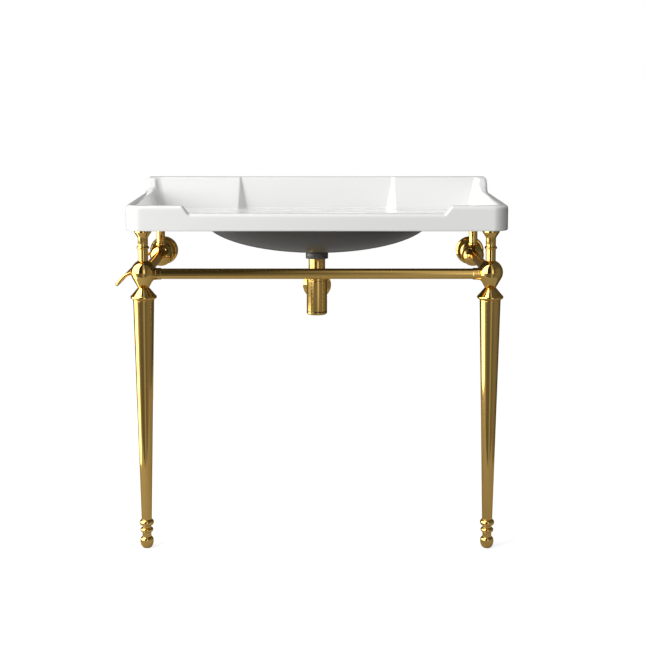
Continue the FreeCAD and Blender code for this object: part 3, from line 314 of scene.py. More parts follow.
def rounded(corners, radius, closed, steps=4):
    """Each corner of more than a few degrees becomes an arc, no longer than its runs allow."""
    count = len(corners)
    before = np.roll(corners, 1, axis=0)
    after = np.roll(corners, -1, axis=0)
    back = before - corners
    ahead = after - corners
    back_length = np.linalg.norm(back, axis=1)
    ahead_length = np.linalg.norm(ahead, axis=1)
    back = back / np.maximum(back_length, 1e-9)[:, None]
    ahead = ahead / np.maximum(ahead_length, 1e-9)[:, None]
    cosine = np.clip((back * ahead).sum(axis=1), -1, 1)
    angle = np.arccos(cosine)
    smooth = angle > math.radians(160)
    if not closed:
        smooth[0] = smooth[-1] = True
    reach = radius / np.tan(np.maximum(angle, 0.05) / 2)
    reach = np.minimum(reach, 0.42 * np.minimum(back_length, ahead_length))
    points = []
    for i in range(count):
        if smooth[i]:
            points.append(corners[i][None])
            continue
        weight = math.sin(angle[i] / 2)
        t = np.linspace(0, 1, steps + 1)[:, None]
        first, last = corners[i] + back[i] * reach[i], corners[i] + ahead[i] * reach[i]
        parts = (1 - t) ** 2, 2 * weight * t * (1 - t), t**2
        curve = (parts[0] * first + parts[1] * corners[i] + parts[2] * last) / sum(parts)
        if back_length[i] > 6 * reach[i]:
            points.append((corners[i] + back[i] * reach[i] * 1.6)[None])
        points.append(curve)
        if ahead_length[i] > 6 * reach[i]:
            points.append((corners[i] + ahead[i] * reach[i] * 1.6)[None])
    return np.vstack(points)


# %% A turned piece
def facing(direction):
    """The turn that takes +Z to a direction."""
    return Vector((0, 0, 1)).rotation_difference(Vector(direction)).to_matrix()


def lathe(name, outline, foot, material, direction=(0, 0, 1), edge=0.5, turns=96, body="root"):
    """A profile in millimetres turned round an axis through foot: x and y are the profile's radius
    times the cosine and sine of the station's angle, and z is its height."""
    closed = not (outline[0][0] == 0 and outline[-1][0] == 0)
    profile = rounded(outline_corners(outline), edge, closed)
    angles = np.linspace(0, 2 * math.pi, turns, endpoint=False)[:, None]
    radius, height = profile[None, :, 0], profile[None, :, 1]
    points = np.stack([radius * np.cos(angles), radius * np.sin(angles),
                       height + 0 * angles], axis=-1)
    turn = np.array(facing(direction))
    placed = (points @ turn.T + np.array(foot)) * MM
    return grid_mesh(name, placed, material, body, closed)


def join(name, pieces):
    """One object out of several that ride on the same body."""
    for piece in bpy.context.selected_objects:
        piece.select_set(False)
    for piece in pieces:
        piece.select_set(True)
    bpy.context.view_layer.objects.active = pieces[0]
    bpy.ops.object.join()
    pieces[0].name = name
    pieces[0].data.name = name
    return pieces[0]


# %% [markdown]
# ## The basin
#
# The basin is one casting: a bowl, a flat tray round it, a rim with a lowered middle in front and a
# backsplash behind. All of it is one profile carried round the drain. The profile starts at the
# drain hole, climbs the inside of the bowl, crosses the tray, goes up and over the rim, down the
# apron, back under the tray and down the outside of the bowl. Only its corners differ from station
# to station, so they are arrays, and one function rounds them all at once.

# %% Sizes of the basin, in millimetres
HALF, FRONT = 460.0, -500.0
FLOOR, RIM, DIP, SPLASH, UNDER = 800.0, 850.0, 831.0, 885.0, 789.0
SET_BACK = 285.0
OUTER_BOWL = np.array([288.0, 155.0, 88.0])
WALL = 11.0
DRAIN_HOLE, SEAT, SEAT_FLOOR, SEAT_EDGE = 23.0, 33.0, 719.0, 721.2
BOSS, BOSS_TOP, BOSS_FOOT = 28.5, 712.4, 703.0
RECESS_FOOT, RECESS_TOP = -33.0, -26.5
SPLASH_FOOT, SPLASH_TOP = -62.0, -28.0
SWEEP_END, SWEEP_BEND, SWEEP_BEND_Z = -84.0, -48.0, 863.0
HOLLOW_RADIUS, BULGE_RADIUS = 62.0, 24.0
STEP_NEAR, STEP_WIDTH = 303.0, 21.0


def rim_height(x, y):
    """Height of the rim's top: level, lower in the front's middle, and swept up at the back.

    The sweep is a hollow arc and then a round one. The front's step is an even S.
    """
    hollow = arc_height(y, (SWEEP_END, RIM), (SWEEP_BEND, SWEEP_BEND_Z), HOLLOW_RADIUS, True)
    bulged = arc_height(y, (SWEEP_BEND, SWEEP_BEND_Z), (SPLASH_TOP, SPLASH), BULGE_RADIUS, False)
    side = np.where(y < SWEEP_END, RIM,
                    np.where(y < SWEEP_BEND, hollow, np.where(y < SPLASH_TOP, bulged, SPLASH)))
    step = np.clip((np.abs(x) - STEP_NEAR) / STEP_WIDTH, 0, 1)
    front = DIP + (RIM - DIP) * step**2 * (3 - 2 * step)
    return np.where(y < FRONT + 100, front, side)


def arc_height(y, start, end, radius, hollow):
    """Height of a circle through two points (y, z), above its centre or below it."""
    start, end = np.array(start), np.array(end)
    chord = end - start
    length = np.linalg.norm(chord)
    side = np.array([-chord[1], chord[0]]) / length
    depth = math.sqrt(radius**2 - length**2 / 4)
    centre = (start + end) / 2 + side * (depth if hollow else -depth)
    inside = np.sqrt(np.maximum(radius**2 - (y - centre[0]) ** 2, 0))
    return centre[1] - inside if hollow else centre[1] + inside


# %% [markdown]
# The stations go round the rim from the middle of the back. Each stretch of the rim has as many
# stations as it needs: few along a straight side, many over a step or a corner. For each station,
# four points are noted: the foot of the tray's side, two points of the leaning side, level with the
# rim and with the backsplash's top, and the outer edge of the rim. All four lines have their knots
# at the same stations.

# %% Stations round the rim
# recess, splay, backsplash, two leads into its corner, corner, sweep, side, corner, front, step
# and dip
STATIONS = (44, 8, 42, 4, 6, 40, 30, 46, 20, 14, 24, 66)
LEADS = (8, 5)
FRONT_ROUND, OUTER_ROUND = 24, 40
STEP_STRETCH = (STEP_NEAR + STEP_WIDTH + 2, STEP_NEAR - 2)


def line_through(knots):
    """Points through the knots, as many on each stretch as STATIONS says. A knot with a third value
    is reached on a quarter circle round that centre."""
    points = []
    for count, start, end in zip(STATIONS, knots, knots[1:]):
        t = np.linspace(0, 1, count, endpoint=False)[:, None]
        first, last = np.array(start[:2], dtype=float), np.array(end[:2], dtype=float)
        if len(end) == 2:
            points.append(first + (last - first) * t)
        else:
            out, over = first - end[2], last - end[2]
            quarter = t * math.pi / 2
            points.append(end[2] + np.cos(quarter) * out + np.sin(quarter) * over)
    points.append([knots[-1]])
    return np.vstack(points)


def inner_line(recess, splay_back, splay_front, splash, side, back_round, sweep_end, front):
    """One level of the tray's side, on the right: the recess in the backsplash, its splayed end,
    the backsplash, the back corner, the side, the front corner and the front."""
    corner = side - back_round
    bend = splash - back_round
    front_corner = (side - FRONT_ROUND, front + FRONT_ROUND)
    return line_through([
        (0, recess), (splay_back, recess), (splay_front, splash),
        *((corner - lead, splash) for lead in LEADS), (corner, splash),
        (side, bend, (corner, bend)), (side, sweep_end), (side, front_corner[1]),
        (front_corner[0], front, front_corner), *((x, front) for x in STEP_STRETCH), (0, front)])


def partway(low, high):
    """Where a lean from the tray's floor to the backsplash's top passes the rim's height."""
    return low + (high - low) * (RIM - FLOOR) / (SPLASH - FLOOR)


SPLAY_FOOT, SPLAY_TOP = (190, 212), (206, 207.5)
SIDE_FOOT, SIDE_TOP = 420, 439
FRONT_FOOT, FRONT_TOP = -470, -479
right_half = [
    inner_line(RECESS_FOOT, *SPLAY_FOOT, SPLASH_FOOT, SIDE_FOOT, 24, SWEEP_END - 8, FRONT_FOOT),
    inner_line(partway(RECESS_FOOT, SPLASH_TOP), *map(partway, SPLAY_FOOT, SPLAY_TOP),
               partway(SPLASH_FOOT, SPLASH_TOP), SIDE_TOP, 20, SWEEP_END, FRONT_TOP),
    inner_line(RECESS_TOP, *SPLAY_TOP, SPLASH_TOP, SIDE_TOP, 16, SWEEP_END, FRONT_TOP),
    line_through([
        (0, 0), *((x, 0) for x in SPLAY_TOP), (449, 0), (HALF, 0), (HALF, SPLASH_TOP),
        (HALF, SPLASH_TOP - 16), (HALF, SWEEP_END), (HALF, FRONT + OUTER_ROUND),
        (HALF - OUTER_ROUND, FRONT, (HALF - OUTER_ROUND, FRONT + OUTER_ROUND)),
        *((x, FRONT) for x in STEP_STRETCH), (0, FRONT)])]


def all_round(half):
    """The right half, then its mirror image back to the start."""
    mirrored = half[-2:0:-1] * np.array([-1.0, 1.0])
    return np.vstack([half, mirrored])


foot_line, mid_line, top_line, outer_line = (all_round(line) for line in right_half)
print("stations round the basin:", len(foot_line))

# %% [markdown]
# The inside of the tray leans, so its top edge comes from the leaning wall at the rim's own height.
# Under the tray, each station's direction from the drain picks its point on the bowl.

# %% Control points of the profile
def at_height(xy, z):
    return np.concatenate([xy, np.broadcast_to(z, len(xy))[:, None]], axis=1)


def tray_wall_top():
    """Where the leaning wall meets the rim's top, found with a few steps of substitution."""
    spot = top_line.copy()
    for _ in range(6):
        z = rim_height(spot[:, 0], spot[:, 1])
        low = np.clip((z - FLOOR) / (RIM - FLOOR), 0, 1)[:, None]
        high = np.clip((z - RIM) / (SPLASH - RIM), 0, 1)[:, None]
        spot = foot_line + (mid_line - foot_line) * low + (top_line - mid_line) * high
    return at_height(spot, rim_height(spot[:, 0], spot[:, 1]))


def ellipse_points(axes, drop):
    """Each station's point on the lower half of an ellipsoid, at a fraction of its depth."""
    flat = unit * axes[:2] * math.sqrt(1 - drop**2)
    return at_height(DRAIN_PLAN + flat, FLOOR - axes[2] * drop)


DRAIN_PLAN = np.array([0, -SET_BACK])
towards = foot_line - DRAIN_PLAN
inner_axes = OUTER_BOWL - WALL
unit = towards / inner_axes[:2]
unit = unit / np.linalg.norm(unit, axis=1)[:, None]
circle = towards / np.linalg.norm(towards, axis=1)[:, None]


def circle_points(radius, z):
    return at_height(DRAIN_PLAN + circle * radius, z)


corners, rounds = [], []


def corner_row(points, radius=0.0):
    corners.append(points)
    rounds.append(radius)


corner_row(circle_points(DRAIN_HOLE, SEAT_FLOOR), 1.0)
corner_row(circle_points(SEAT, SEAT_FLOOR), 0.8)
corner_row(circle_points(SEAT, SEAT_EDGE), 0.8)
for fraction in np.linspace(0.05, 1, 17)[:-1]:
    corner_row(ellipse_points(inner_axes, math.cos(fraction * math.pi / 2)))
corner_row(ellipse_points(inner_axes, 0.0), 8.0)
corner_row(at_height(foot_line, FLOOR), 8.0)
wall_top = tray_wall_top()
corner_row(wall_top, 7.0)
# over the sweep the outer edge keeps step with the inner one, so the rim's top has no twist
swept = ((np.abs(outer_line[:, 0]) == HALF) & (outer_line[:, 1] > SWEEP_END)
         & (wall_top[:, 1] < SPLASH_TOP))
outer_line[swept, 1] = wall_top[swept, 1]
corner_row(at_height(outer_line, rim_height(outer_line[:, 0], outer_line[:, 1])), 9.0)
corner_row(at_height(outer_line, UNDER), 3.0)
first_under = len(corners)
lip = (FLOOR - UNDER) / OUTER_BOWL[2]
corner_row(ellipse_points(OUTER_BOWL, lip), 8.0)
for angle in np.linspace(math.asin(lip), math.pi / 2, 18)[1:-1]:
    corner_row(ellipse_points(OUTER_BOWL, math.sin(angle)))
corner_row(circle_points(BOSS, BOSS_TOP), 1.5)
corner_row(circle_points(BOSS, BOSS_FOOT), 1.0)
corner_row(circle_points(DRAIN_HOLE, BOSS_FOOT), 1.0)
control = np.stack(corners, axis=1)
print("profile corners:", control.shape[1])


# %% [markdown]
# The same rational arc that rounds a turned profile also rounds this one, for all stations at once.
# Under the tray and the bowl the surface takes the dark finish, which is painted shade: it stands in
# for the shadow under the basin.

# %% The basin's surface
ARC_STEPS = 6


def rounded_rows(control, rounds):
    """Round every corner of every station's closed profile: each becomes an arc of its radius, with
    one more point on each side of it."""
    before = np.roll(control, 1, axis=1) - control
    after = np.roll(control, -1, axis=1) - control
    back_length = np.linalg.norm(before, axis=2)
    ahead_length = np.linalg.norm(after, axis=2)
    back = before / np.maximum(back_length, 1e-9)[..., None]
    ahead = after / np.maximum(ahead_length, 1e-9)[..., None]
    angle = np.arccos(np.clip((back * ahead).sum(axis=2), -1, 1))
    rows = []
    for j, radius in enumerate(rounds):
        corner = control[:, j]
        if radius == 0:
            rows.append(corner[:, None])
            continue
        reach = radius / np.tan(np.maximum(angle[:, j], 0.3) / 2)
        shorter = np.minimum(back_length[:, j], ahead_length[:, j])
        reach = np.minimum(reach, 0.45 * shorter)[:, None]
        first = corner + back[:, j] * reach
        last = corner + ahead[:, j] * reach
        weight = np.sin(angle[:, j] / 2)[:, None, None]
        t = np.linspace(0, 1, ARC_STEPS + 1)[None, :, None]
        parts = (1 - t) ** 2, 2 * weight * t * (1 - t), t**2
        curve = (parts[0] * first[:, None] + parts[1] * corner[:, None]
                 + parts[2] * last[:, None]) / sum(parts)
        halfway_back, halfway_ahead = back_length[:, j, None] / 2, ahead_length[:, j, None] / 2
        near_back = corner + back[:, j] * np.minimum(reach * 1.5, halfway_back)
        near_ahead = corner + ahead[:, j] * np.minimum(reach * 1.5, halfway_ahead)
        rows.append(np.concatenate([near_back[:, None], curve, near_ahead[:, None]], axis=1))
    return np.concatenate(rows, axis=1)


surface = rounded_rows(control, rounds)[::-1]
basin = grid_mesh("basin_china", surface * MM, glaze)
# the second slot holds the painted shade for the faces under the tray and the bowl
basin.data.materials.append(shaded_underside)
rows_before = sum(ARC_STEPS + 3 if radius else 1 for radius in rounds[:first_under]) - 1
place = np.arange(len(basin.data.polygons)) % surface.shape[1]
basin.data.polygons.foreach_set("material_index", (place >= rows_before).astype(np.int32))
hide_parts("basin")
print("basin faces:", len(basin.data.polygons))

# %% [markdown]
# ## Levelling feet
#
# Each leg ends in a turned foot: a flattened ball, a neck and two rings. It is a bolt in effect,
# with a shank that screws into the leg, and turning it lifts or lowers that corner. Only the foot
# turns, so it rides on the turning body, and the rubber disc under it rides on the sliding one.

# %% Feet
LEG_X, LEG_Y, REAR_Y, RAIL_Z, BALL_Z = 419.5, -463.0, -84.0, 682.0, 679.0
SIDES = {"left": -1, "right": 1}

FOOT = [(0, 3.2), (8.8, 3.2), (8.8, 1.5), (11, 1.5, 24, "left"), (16.2, 19.5, 8.8, "left"),
        (11, 28), (11, 39.5, 5.8, "left"), (10.5, 51), (10.5, 56, 7.9, "left"), (12.2, 71.4),
        (12.2, 72), (6, 72), (6, 104), (0, 104)]
for side, sign in SIDES.items():
    axis = (sign * LEG_X, LEG_Y, 0)
    foot = lathe(f"turned_foot_{side}", FOOT, axis, brass, body=f"foot_turn_{side}")
    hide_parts(f"foot_{side}")
print("foot points round and along:", len(foot.data.vertices))

# %% [markdown]
# ## Legs
#
# The leg is a hollow cone of 545 mm that widens upwards, with a plug in its thin end. A cap sits in
# its wide end like a bottle's stopper: a rolled lip, and a cone that leads the eye to the bulb.

# %% Legs and caps
LEG = [(6.05, 72.2), (12.6, 72.2), (25.2, 617.6), (22.7, 617.6), (11, 112), (6.05, 112)]
CAP = [(0, 605), (22, 605), (22, 617.6), (25.8, 617.6), (25.8, 620), (29.4, 621.6, 4.4, "left"),
       (29.3, 629.5), (13.4, 648.5), (5, 648.5), (5, 630.5), (0, 630.5)]
for side, sign in SIDES.items():
    axis = (sign * LEG_X, LEG_Y, 0)
    leg = lathe(f"tapered_leg_{side}", LEG, axis, brass)
    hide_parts(f"leg_{side}")
    cap = lathe(f"leg_stopper_{side}", CAP, axis, brass)
    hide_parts(f"leg_cap_{side}")

# %% [markdown]
# ## Bulbs and stems
#
# The bulb is where the front rail, a side rail and the column meet. It is a cone that opens into a
# round shoulder, with a short socket cast on for each rail. The stem above it carries a fine ring
# and flares out under the basin, where a rubber pad keeps brass off china.

# %% Bulbs
BULB = [(0, 666.5), (5, 666.5), (5, 648.5), (13.4, 648.5), (26, 671, 30, "left"), (12, 713.5),
        (5, 713.5), (5, 695.5), (0, 695.5)]
FRONT_SOCKET = [(12.7, 10), (15, 10), (15, 31), (12.7, 31)]
SIDE_SOCKET = [(12.5, 10), (14.8, 10), (14.8, 31), (12.5, 31)]
STEM = [(5, 713.5), (12, 713.5), (12, 742.2, 3.52, "left"), (12, 749.2), (12, 767, 14, "right"),
        (14.6, 774), (20.8, 783.5), (20.8, 787.5), (0, 787.5), (0, 731.5), (5, 731.5)]
for side, sign in SIDES.items():
    axis = (sign * LEG_X, LEG_Y, 0)
    centre = (sign * LEG_X, LEG_Y, RAIL_Z)
    bulb = join(f"bulb_{side}", [
        lathe("bulb", BULB, axis, brass),
        lathe("front_socket", FRONT_SOCKET, centre, brass, (-sign, 0, 0), edge=0.8),
        lathe("side_socket", SIDE_SOCKET, centre, brass, (0, 1, 0), edge=0.8)])
    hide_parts(f"front_bulb_{side}")
    stem = lathe(f"flared_stem_{side}", STEM, axis, brass)
    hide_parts(f"upper_stem_{side}")

# %% [markdown]
# ## Rear balls and posts
#
# Behind, a bigger ball does the bulb's work: the side rail enters it in front, the wall's stub at
# the back, and a plain post rises from it to the basin.

# %% Rear balls and posts
REAR_BALL = [(0, -29.5), (0.5, -29.4958, 29.5, "left"), (28, 9.2871, 29.5, "left"), (4.8, 29.1068),
             (3.7, 28), (3.7, 20), (0, 20)]
SCREW_IN, SCREW_OUT, SCREW_UP = 0.38, -0.70, 0.60
REAR_POST = [(5, 705.95), (12, 705.95), (13.6, 707.7), (13.6, 711.5), (11.5, 713.5),
             (11.5, 787.5), (0, 787.5), (0, 723.95), (5, 723.95)]
for side, sign in SIDES.items():
    axis = (sign * LEG_X, REAR_Y, 0)
    ball = lathe(f"round_joint_{side}", REAR_BALL, (sign * LEG_X, REAR_Y, BALL_Z), brass,
                 (-sign * SCREW_IN, SCREW_OUT, SCREW_UP), edge=0.4, turns=128)
    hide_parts(f"rear_ball_{side}")
    post = lathe(f"plain_post_{side}", REAR_POST, axis, brass)
    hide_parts(f"rear_post_{side}")

# %% [markdown]
# ## Rails and wall fixings
#
# The rails are tubes. Their ends vanish in sockets, and the front rail wears a small collar at each
# end. Each wall fixing is a bevelled plate with a dome over it, and a stub of tube that joins the
# dome to the rear ball.

# %% Rails
def tube_outline(outer, inner, length):
    return [(inner, 0), (outer, 0), (outer, length), (inner, length)]


COLLAR = [(12.7, 0), (13.5, 0), (14.3, 0.8), (14.3, 11.2), (13.5, 12), (12.7, 12)]
FRONT_LENGTH, SIDE_LENGTH, SIDE_START = 811, 353, -449
rail = lathe("front_tube", tube_outline(12.7, 11.2, FRONT_LENGTH),
             (-FRONT_LENGTH / 2, LEG_Y, RAIL_Z), brass, (1, 0, 0))
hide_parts("front_rail")
for side, sign in SIDES.items():
    rail = lathe(f"side_tube_{side}", tube_outline(12.5, 11, SIDE_LENGTH),
                 (sign * LEG_X, SIDE_START, RAIL_Z), brass, (0, 1, 0))
    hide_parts(f"side_rail_{side}")
    collar = lathe(f"rail_collar_{side}", COLLAR, (sign * (LEG_X - 31), LEG_Y, RAIL_Z), brass,
                   (-sign, 0, 0), edge=0.3)
    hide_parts(f"front_collar_{side}")

# %% Wall fixings
DOME = [(4, 0), (18, 0), (18, 13), (32.5, 13, 40, "left"), (18, 44), (12.5, 44), (12.5, 30),
        (0, 30), (0, 25), (4, 25)]
PLATE = [(18, 0), (38, 0), (38, 7), (34.5, 13), (18, 13)]
for side, sign in SIDES.items():
    wall = (sign * LEG_X, 0, RAIL_Z)
    dome = lathe(f"wall_dome_{side}", DOME, wall, brass, (0, -1, 0), turns=128)
    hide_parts(f"rosette_{side}")
    plate = lathe(f"wall_plate_{side}", PLATE, wall, brass, (0, -1, 0), turns=128)
    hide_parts(f"wall_flange_{side}")
    stub = lathe(f"wall_tube_{side}", tube_outline(12.5, 11, 42),
                 (sign * LEG_X, -30, RAIL_Z), brass, (0, -1, 0))
    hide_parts(f"wall_stub_{side}")

# %% [markdown]
# ## Towel rail
#
# On the left a rod leaves the bulb, curves out and down to a bar along the side, and comes back to
# the rear ball in the same way. It is a circle carried along a path: straight runs joined by arcs.
# At every point of the path two directions square to it hold the circle. The path stays nearly in
# upright planes, so the second direction comes from the first by turning it as little as possible.

# %% Towel rail
def soft_path(points, radii, steps=20):
    """Straight runs joined by arcs, as the rounded corners of a profile are, but in space."""
    rows = [points[:1]]
    for index, radius in enumerate(radii, start=1):
        corner = points[index]
        back = points[index - 1] - corner
        ahead = points[index + 1] - corner
        back, ahead = back / np.linalg.norm(back), ahead / np.linalg.norm(ahead)
        half = math.acos(float(back @ ahead)) / 2
        reach = radius / math.tan(half)
        centre = corner + (back + ahead) / np.linalg.norm(back + ahead) * radius / math.sin(half)
        first = corner + back * reach - centre
        last = corner + ahead * reach - centre
        swing = math.pi - 2 * half
        t = np.linspace(0, 1, steps)[:, None]
        rows.append(centre + (np.sin((1 - t) * swing) * first + np.sin(t * swing) * last)
                    / math.sin(swing))
    rows.append(points[-1:])
    return np.vstack(rows)


def carried_circle(path, radius, around=48):
    """points[j, i]: place i of the path, at angle j of a circle square to the path."""
    ahead = np.gradient(path, axis=0)
    ahead /= np.linalg.norm(ahead, axis=1)[:, None]
    side = np.empty_like(ahead)
    side[0] = np.cross(ahead[0], (0, 1, 0))
    for i in range(1, len(path)):
        kept = side[i - 1] - ahead[i] * (side[i - 1] @ ahead[i])
        side[i] = kept / np.linalg.norm(kept)
    other = np.cross(ahead, side)
    angles = np.linspace(0, 2 * math.pi, around, endpoint=False)[:, None, None]
    ring = path + radius * (np.cos(angles) * side + np.sin(angles) * other)
    ends = [np.broadcast_to(path[k], (around, 1, 3)) for k in (0, -1)]
    return np.concatenate([ends[0], ring, ends[1]], axis=1)


ROD_RADIUS = 4.25
ARM = [(-LEG_X - 16, 688), (-LEG_X - 46, 677), (-LEG_X - 65, 654.5)]
ARM_BENDS = (40, 12)
rod_corners = np.array([(x, LEG_Y, z) for x, z in ARM] + [(x, REAR_Y, z) for x, z in ARM[::-1]])
rod_path = soft_path(rod_corners, ARM_BENDS + ARM_BENDS[::-1])
towel_rod = grid_mesh("towel_rod", carried_circle(rod_path, ROD_RADIUS) * MM, brass,
                      closed_profile=False)
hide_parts("towel_rail")
print("towel rod length:", round(float(np.linalg.norm(np.diff(rod_path, axis=0), axis=1).sum())))

# %% [markdown]
# ## Waste and push plug
#
# In the bowl the drain is a flat ring with a thin edge, and the plug is a low dome that clicks up
# and down over it. The plug rides on its own body with the rubber ring under it.

# %% Waste and plug
RING = [(16, 680), (18.5, 680), (18.5, 719), (32, 719), (32, 720.4), (29, 722), (18, 722),
        (16, 711)]
TAIL = [(16, 646), (21, 646), (21, 697), (18.5, 697), (18.5, 680), (14.5, 680), (14.5, 672),
        (16, 672)]
PLUG = [(0, 693.5), (5.6, 693.5), (5.6, 694.5), (4, 694.5), (4, 724.6), (31, 724.6),
        (31, 727, 130, "left"), (4, 730), (0, 730)]
DRAIN = (0, -SET_BACK, 0)
for name, outline, node_name, body in (("drain_ring", RING, "waste_flange", "root"),
                                       ("drain_tail", TAIL, "waste_tail", "root"),
                                       ("plug_dome", PLUG, "click_plug", "plug")):
    piece = lathe(name, outline, DRAIN, brass, edge=0.4, body=body)
    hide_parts(node_name)

# %% [markdown]
# ## Trap and outlet
#
# The bottle trap is a plain cylinder with a cap that unscrews for cleaning, a nut on its neck and a
# spigot at its back. A pipe runs from the spigot through a bevelled plate into the wall. The cap is
# a separate piece, because it drops and turns as it unscrews.

# %% Trap and outlet
BOTTLE = [(23.5, 562), (26, 562), (26, 640), (24.5, 640), (24.5, 655), (21.2, 655), (21.2, 636),
          (23.5, 636)]
SPIGOT = [(16.05, 24.5), (20, 24.5), (20, 46), (16.05, 46)]
TRAP_CAP = [(0, 553), (23, 553), (26, 556), (26, 560), (23.45, 560), (23.45, 571), (20.5, 571),
            (20.5, 557), (0, 557)]
NECK_NUT = [(24.5, 643), (28.5, 643), (28.5, 664), (21, 664), (21, 661), (24.5, 661)]
SPIGOT_NUT = [(20, 32), (25, 32), (25, 53), (16, 53), (16, 50), (20, 50)]
OUTLET = [(14.8, 28), (16, 28), (16, 286), (15.6, 287), (15.6, 315), (14.8, 315)]
DIP_PIPE = tube_outline(16, 14.5, 100)
WALL_PLATE = [(16.05, 0), (39, 0), (39, 3), (22, 12), (16.05, 12)]
OUTLET_Z = 586
OUTLET_AXIS = (0, -SET_BACK, OUTLET_Z)

bottle = join("trap_bottle", [
    lathe("bottle", BOTTLE, DRAIN, brass, edge=0.6),
    lathe("spigot", SPIGOT, OUTLET_AXIS, brass, (0, 1, 0))])
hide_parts("trap_body")
for name, outline, start, way, node_name, body in (
        ("cleaning_cap", TRAP_CAP, DRAIN, (0, 0, 1), "trap_cap", "cap_turn"),
        ("neck_nut", NECK_NUT, DRAIN, (0, 0, 1), "trap_inlet_nut", "root"),
        ("spigot_nut", SPIGOT_NUT, OUTLET_AXIS, (0, 1, 0), "outlet_nut", "root"),
        ("outlet_tube", OUTLET, OUTLET_AXIS, (0, 1, 0), "outlet_pipe", "root"),
        ("outlet_plate", WALL_PLATE, (0, 0, OUTLET_Z), (0, -1, 0), "wall_escutcheon", "root"),
        ("dip_pipe", DIP_PIPE, (0, -SET_BACK, 572), (0, 0, 1), "dip_tube", "root")):
    piece = lathe(name, outline, start, brass, way, edge=0.4, body=body)
    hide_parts(node_name)

# %% [markdown]
# ## The solids that stay
#
# Pads, seals, screws and the plug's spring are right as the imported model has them. They only get
# their finish, chosen by the slot that the record gives each of them.

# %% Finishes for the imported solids
slot_of = {row["node"]: row["material_slot"] for row in frame["record"]["subparts"]}
FINISH_OF_SLOT = {"china": glaze, "brass": brass, "rubber": rubber, "steel": steel,
                  "plastic": plastic}
OWN_FINISH = {"waste_gasket": grey_rubber, "grub_screws": black_steel}
for name, packed in frame["nodes"].items():
    finish = OWN_FINISH.get(name, FINISH_OF_SLOT[slot_of[name]])
    if packed.data.materials:
        packed.data.materials[0] = finish
    else:
        packed.data.materials.append(finish)
print("packed solids dressed:", len(frame["nodes"]))

# %% [markdown]
# ## Studio
#
# The photograph is on plain white, so a camera ray that meets nothing sees white. A real studio
# also has dark gaps between its lights, and polished metal is mostly those gaps. For reflected rays
# the world therefore carries bands of light and dark round the room. They change with height: one
# set for level rays, two for rays that run a little or well below level, and one for overhead.

# %% World
world = bpy.data.worlds.new("studio")
bpy.context.scene.world = world
world.use_nodes = True
world.node_tree.nodes.clear()
tree = world.node_tree
way = node(tree, "TexCoord").out("Generated")
parts = node(tree, "SeparateXYZ", {}, {"Vector": way})
across, up = parts.out("X"), parts.out("Z")
turn = across.math("ARCTAN2", parts.out("Y") * -1.0) / (2 * math.pi) + 0.5


def azimuth(degrees):
    """Place on the ramp of a direction, counted from the camera's side towards +X."""
    return degrees / 360 + 0.5


BRIGHTEST = 5.0
LEVEL_BANDS = [(-180, 0.14), (-150, 0.14), (-132, 0.06), (-120, 0.06), (-112, 5.0), (-42, 5.0),
               (-34, 0.02), (-10, 0.03), (-2, 0.10), (4, 0.30), (8, 1.4), (20, 1.4), (25, 0.07),
               (40, 0.16), (62, 0.24), (100, 0.18), (125, 0.08), (180, 0.14)]
TRAP_BANDS = [(-180, 0.12), (-110, 0.30), (-74, 0.28), (-66, 0.10), (-56, 0.10), (-48, 0.28),
              (4, 0.28), (11, 0.85), (21, 0.85), (28, 0.28), (100, 0.22), (125, 0.08),
              (180, 0.12)]
LOW_BANDS = [(-180, 0.12), (-132, 0.06), (-122, 0.30), (-115, 4.2), (-80, 4.2), (-66, 0.70),
             (-50, 0.24), (-38, 0.15), (-6, 0.15), (4, 0.42), (14, 0.42), (22, 0.13), (42, 0.22),
             (66, 0.24), (104, 0.18), (125, 0.08), (180, 0.12)]
HIGH_BANDS = [(-180, 0.10), (-118, 0.05), (-108, 5.0), (-44, 5.0), (-36, 0.02), (-4, 0.04),
              (6, 0.60), (20, 0.60), (28, 0.08), (60, 0.14), (110, 0.10), (180, 0.10)]
TRAP_BELOW, LEGS_BELOW, OVERHEAD = 0.136, 0.163, 0.35


def light_bands(levels):
    """The room's brightness round the horizon, from a list of directions and levels."""
    stops = [(azimuth(angle), (level / BRIGHTEST,) * 3) for angle, level in levels]
    return node(tree, "ValToRGB", {"stops": stops}, {"Fac": turn})


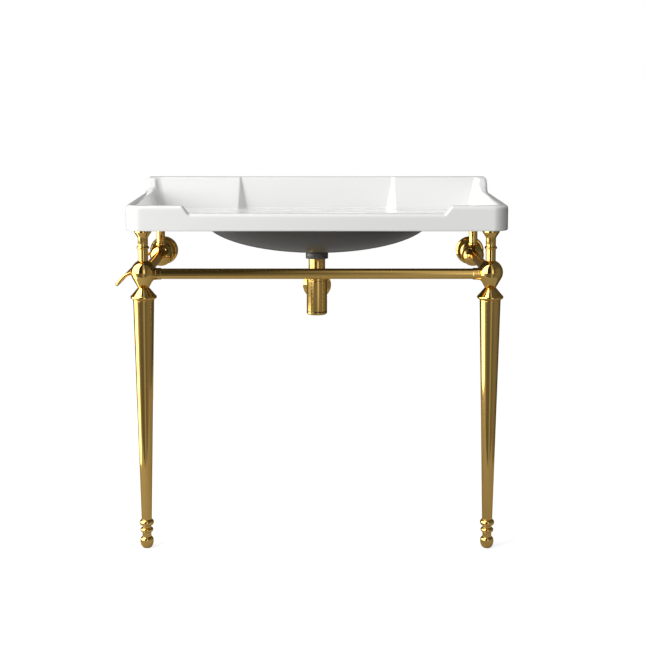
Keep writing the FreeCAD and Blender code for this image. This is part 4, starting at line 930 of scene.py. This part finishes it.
below = ((up * -1.0 - TRAP_BELOW) / 0.004).clamp()
lower = ((up * -1.0 - LEGS_BELOW) / 0.008).clamp()
overhead = ((up - OVERHEAD) / 0.25).clamp()
pattern = blend(tree, below, light_bands(LEVEL_BANDS), light_bands(TRAP_BANDS))
pattern = blend(tree, lower, pattern, light_bands(LOW_BANDS))
pattern = blend(tree, overhead, pattern, light_bands(HIGH_BANDS))
rays = node(tree, "LightPath")
white = (1, 1, 1, 1)
seen = node(tree, "Background", {}, {"Color": white, "Strength": 1.0})
reflected = node(tree, "Background", {}, {"Color": pattern, "Strength": BRIGHTEST})
from_left = (across * -0.62 + 0.48 + up * 0.42).math("MAXIMUM", 0.0)
room = node(tree, "Background", {}, {"Color": white, "Strength": from_left})
lit = node(tree, "MixShader", {}, {0: rays.out("Is Glossy Ray"), 1: room, 2: reflected})
seen_straight = rays.out("Is Camera Ray").math("MAXIMUM", rays.out("Is Transmission Ray"))
node(tree, "OutputWorld", {}, {"Surface": node(
    tree, "MixShader", {}, {0: seen_straight, 1: lit, 2: seen})})

# %% [markdown]
# One large soft light stands on the left in front. The floor is a grey sheet that takes the shadows
# and bounces a little light, and it glows just enough to look white to the camera.

# %% Key light and floor
key_data = bpy.data.lights.new("key", "AREA")
key_data.shape = "RECTANGLE"
key_data.size, key_data.size_y = 1.6, 2.2
key_data.energy = 62
key = bpy.data.objects.new("key", key_data)
key.location = (-2.2, -2.1, 1.7)
key.rotation_euler = (Vector((0, -0.3, 0.75)) - key.location).to_track_quat("-Z", "Y").to_euler()
key.visible_glossy = False
bpy.context.collection.objects.link(key)

floor_mesh = bpy.data.meshes.new("floor")
REACH = 1.1
floor_mesh.from_pydata([(-REACH, -REACH, 0), (REACH, -REACH, 0), (REACH, REACH, 0),
                        (-REACH, REACH, 0)], [], [(0, 1, 2, 3)])
floor = bpy.data.objects.new("floor", floor_mesh)
bpy.context.collection.objects.link(floor)
floor_paint, tree = new_finish("studio_floor")
rays = node(tree, "LightPath")
lifted = rays.out("Is Camera Ray").math("MAXIMUM", rays.out("Is Transmission Ray"))
glow = node(tree, "Emission", {}, {"Color": white, "Strength": lifted * 0.72})
paint = node(tree, "BsdfDiffuse", {}, {"Color": (0.42, 0.42, 0.42, 1)})
finish_with(tree, node(tree, "AddShader", {}, {0: paint, 1: glow}))
floor.data.materials.append(floor_paint)

# %% The view transform, and the end
bpy.context.scene.view_settings.view_transform = "Standard"
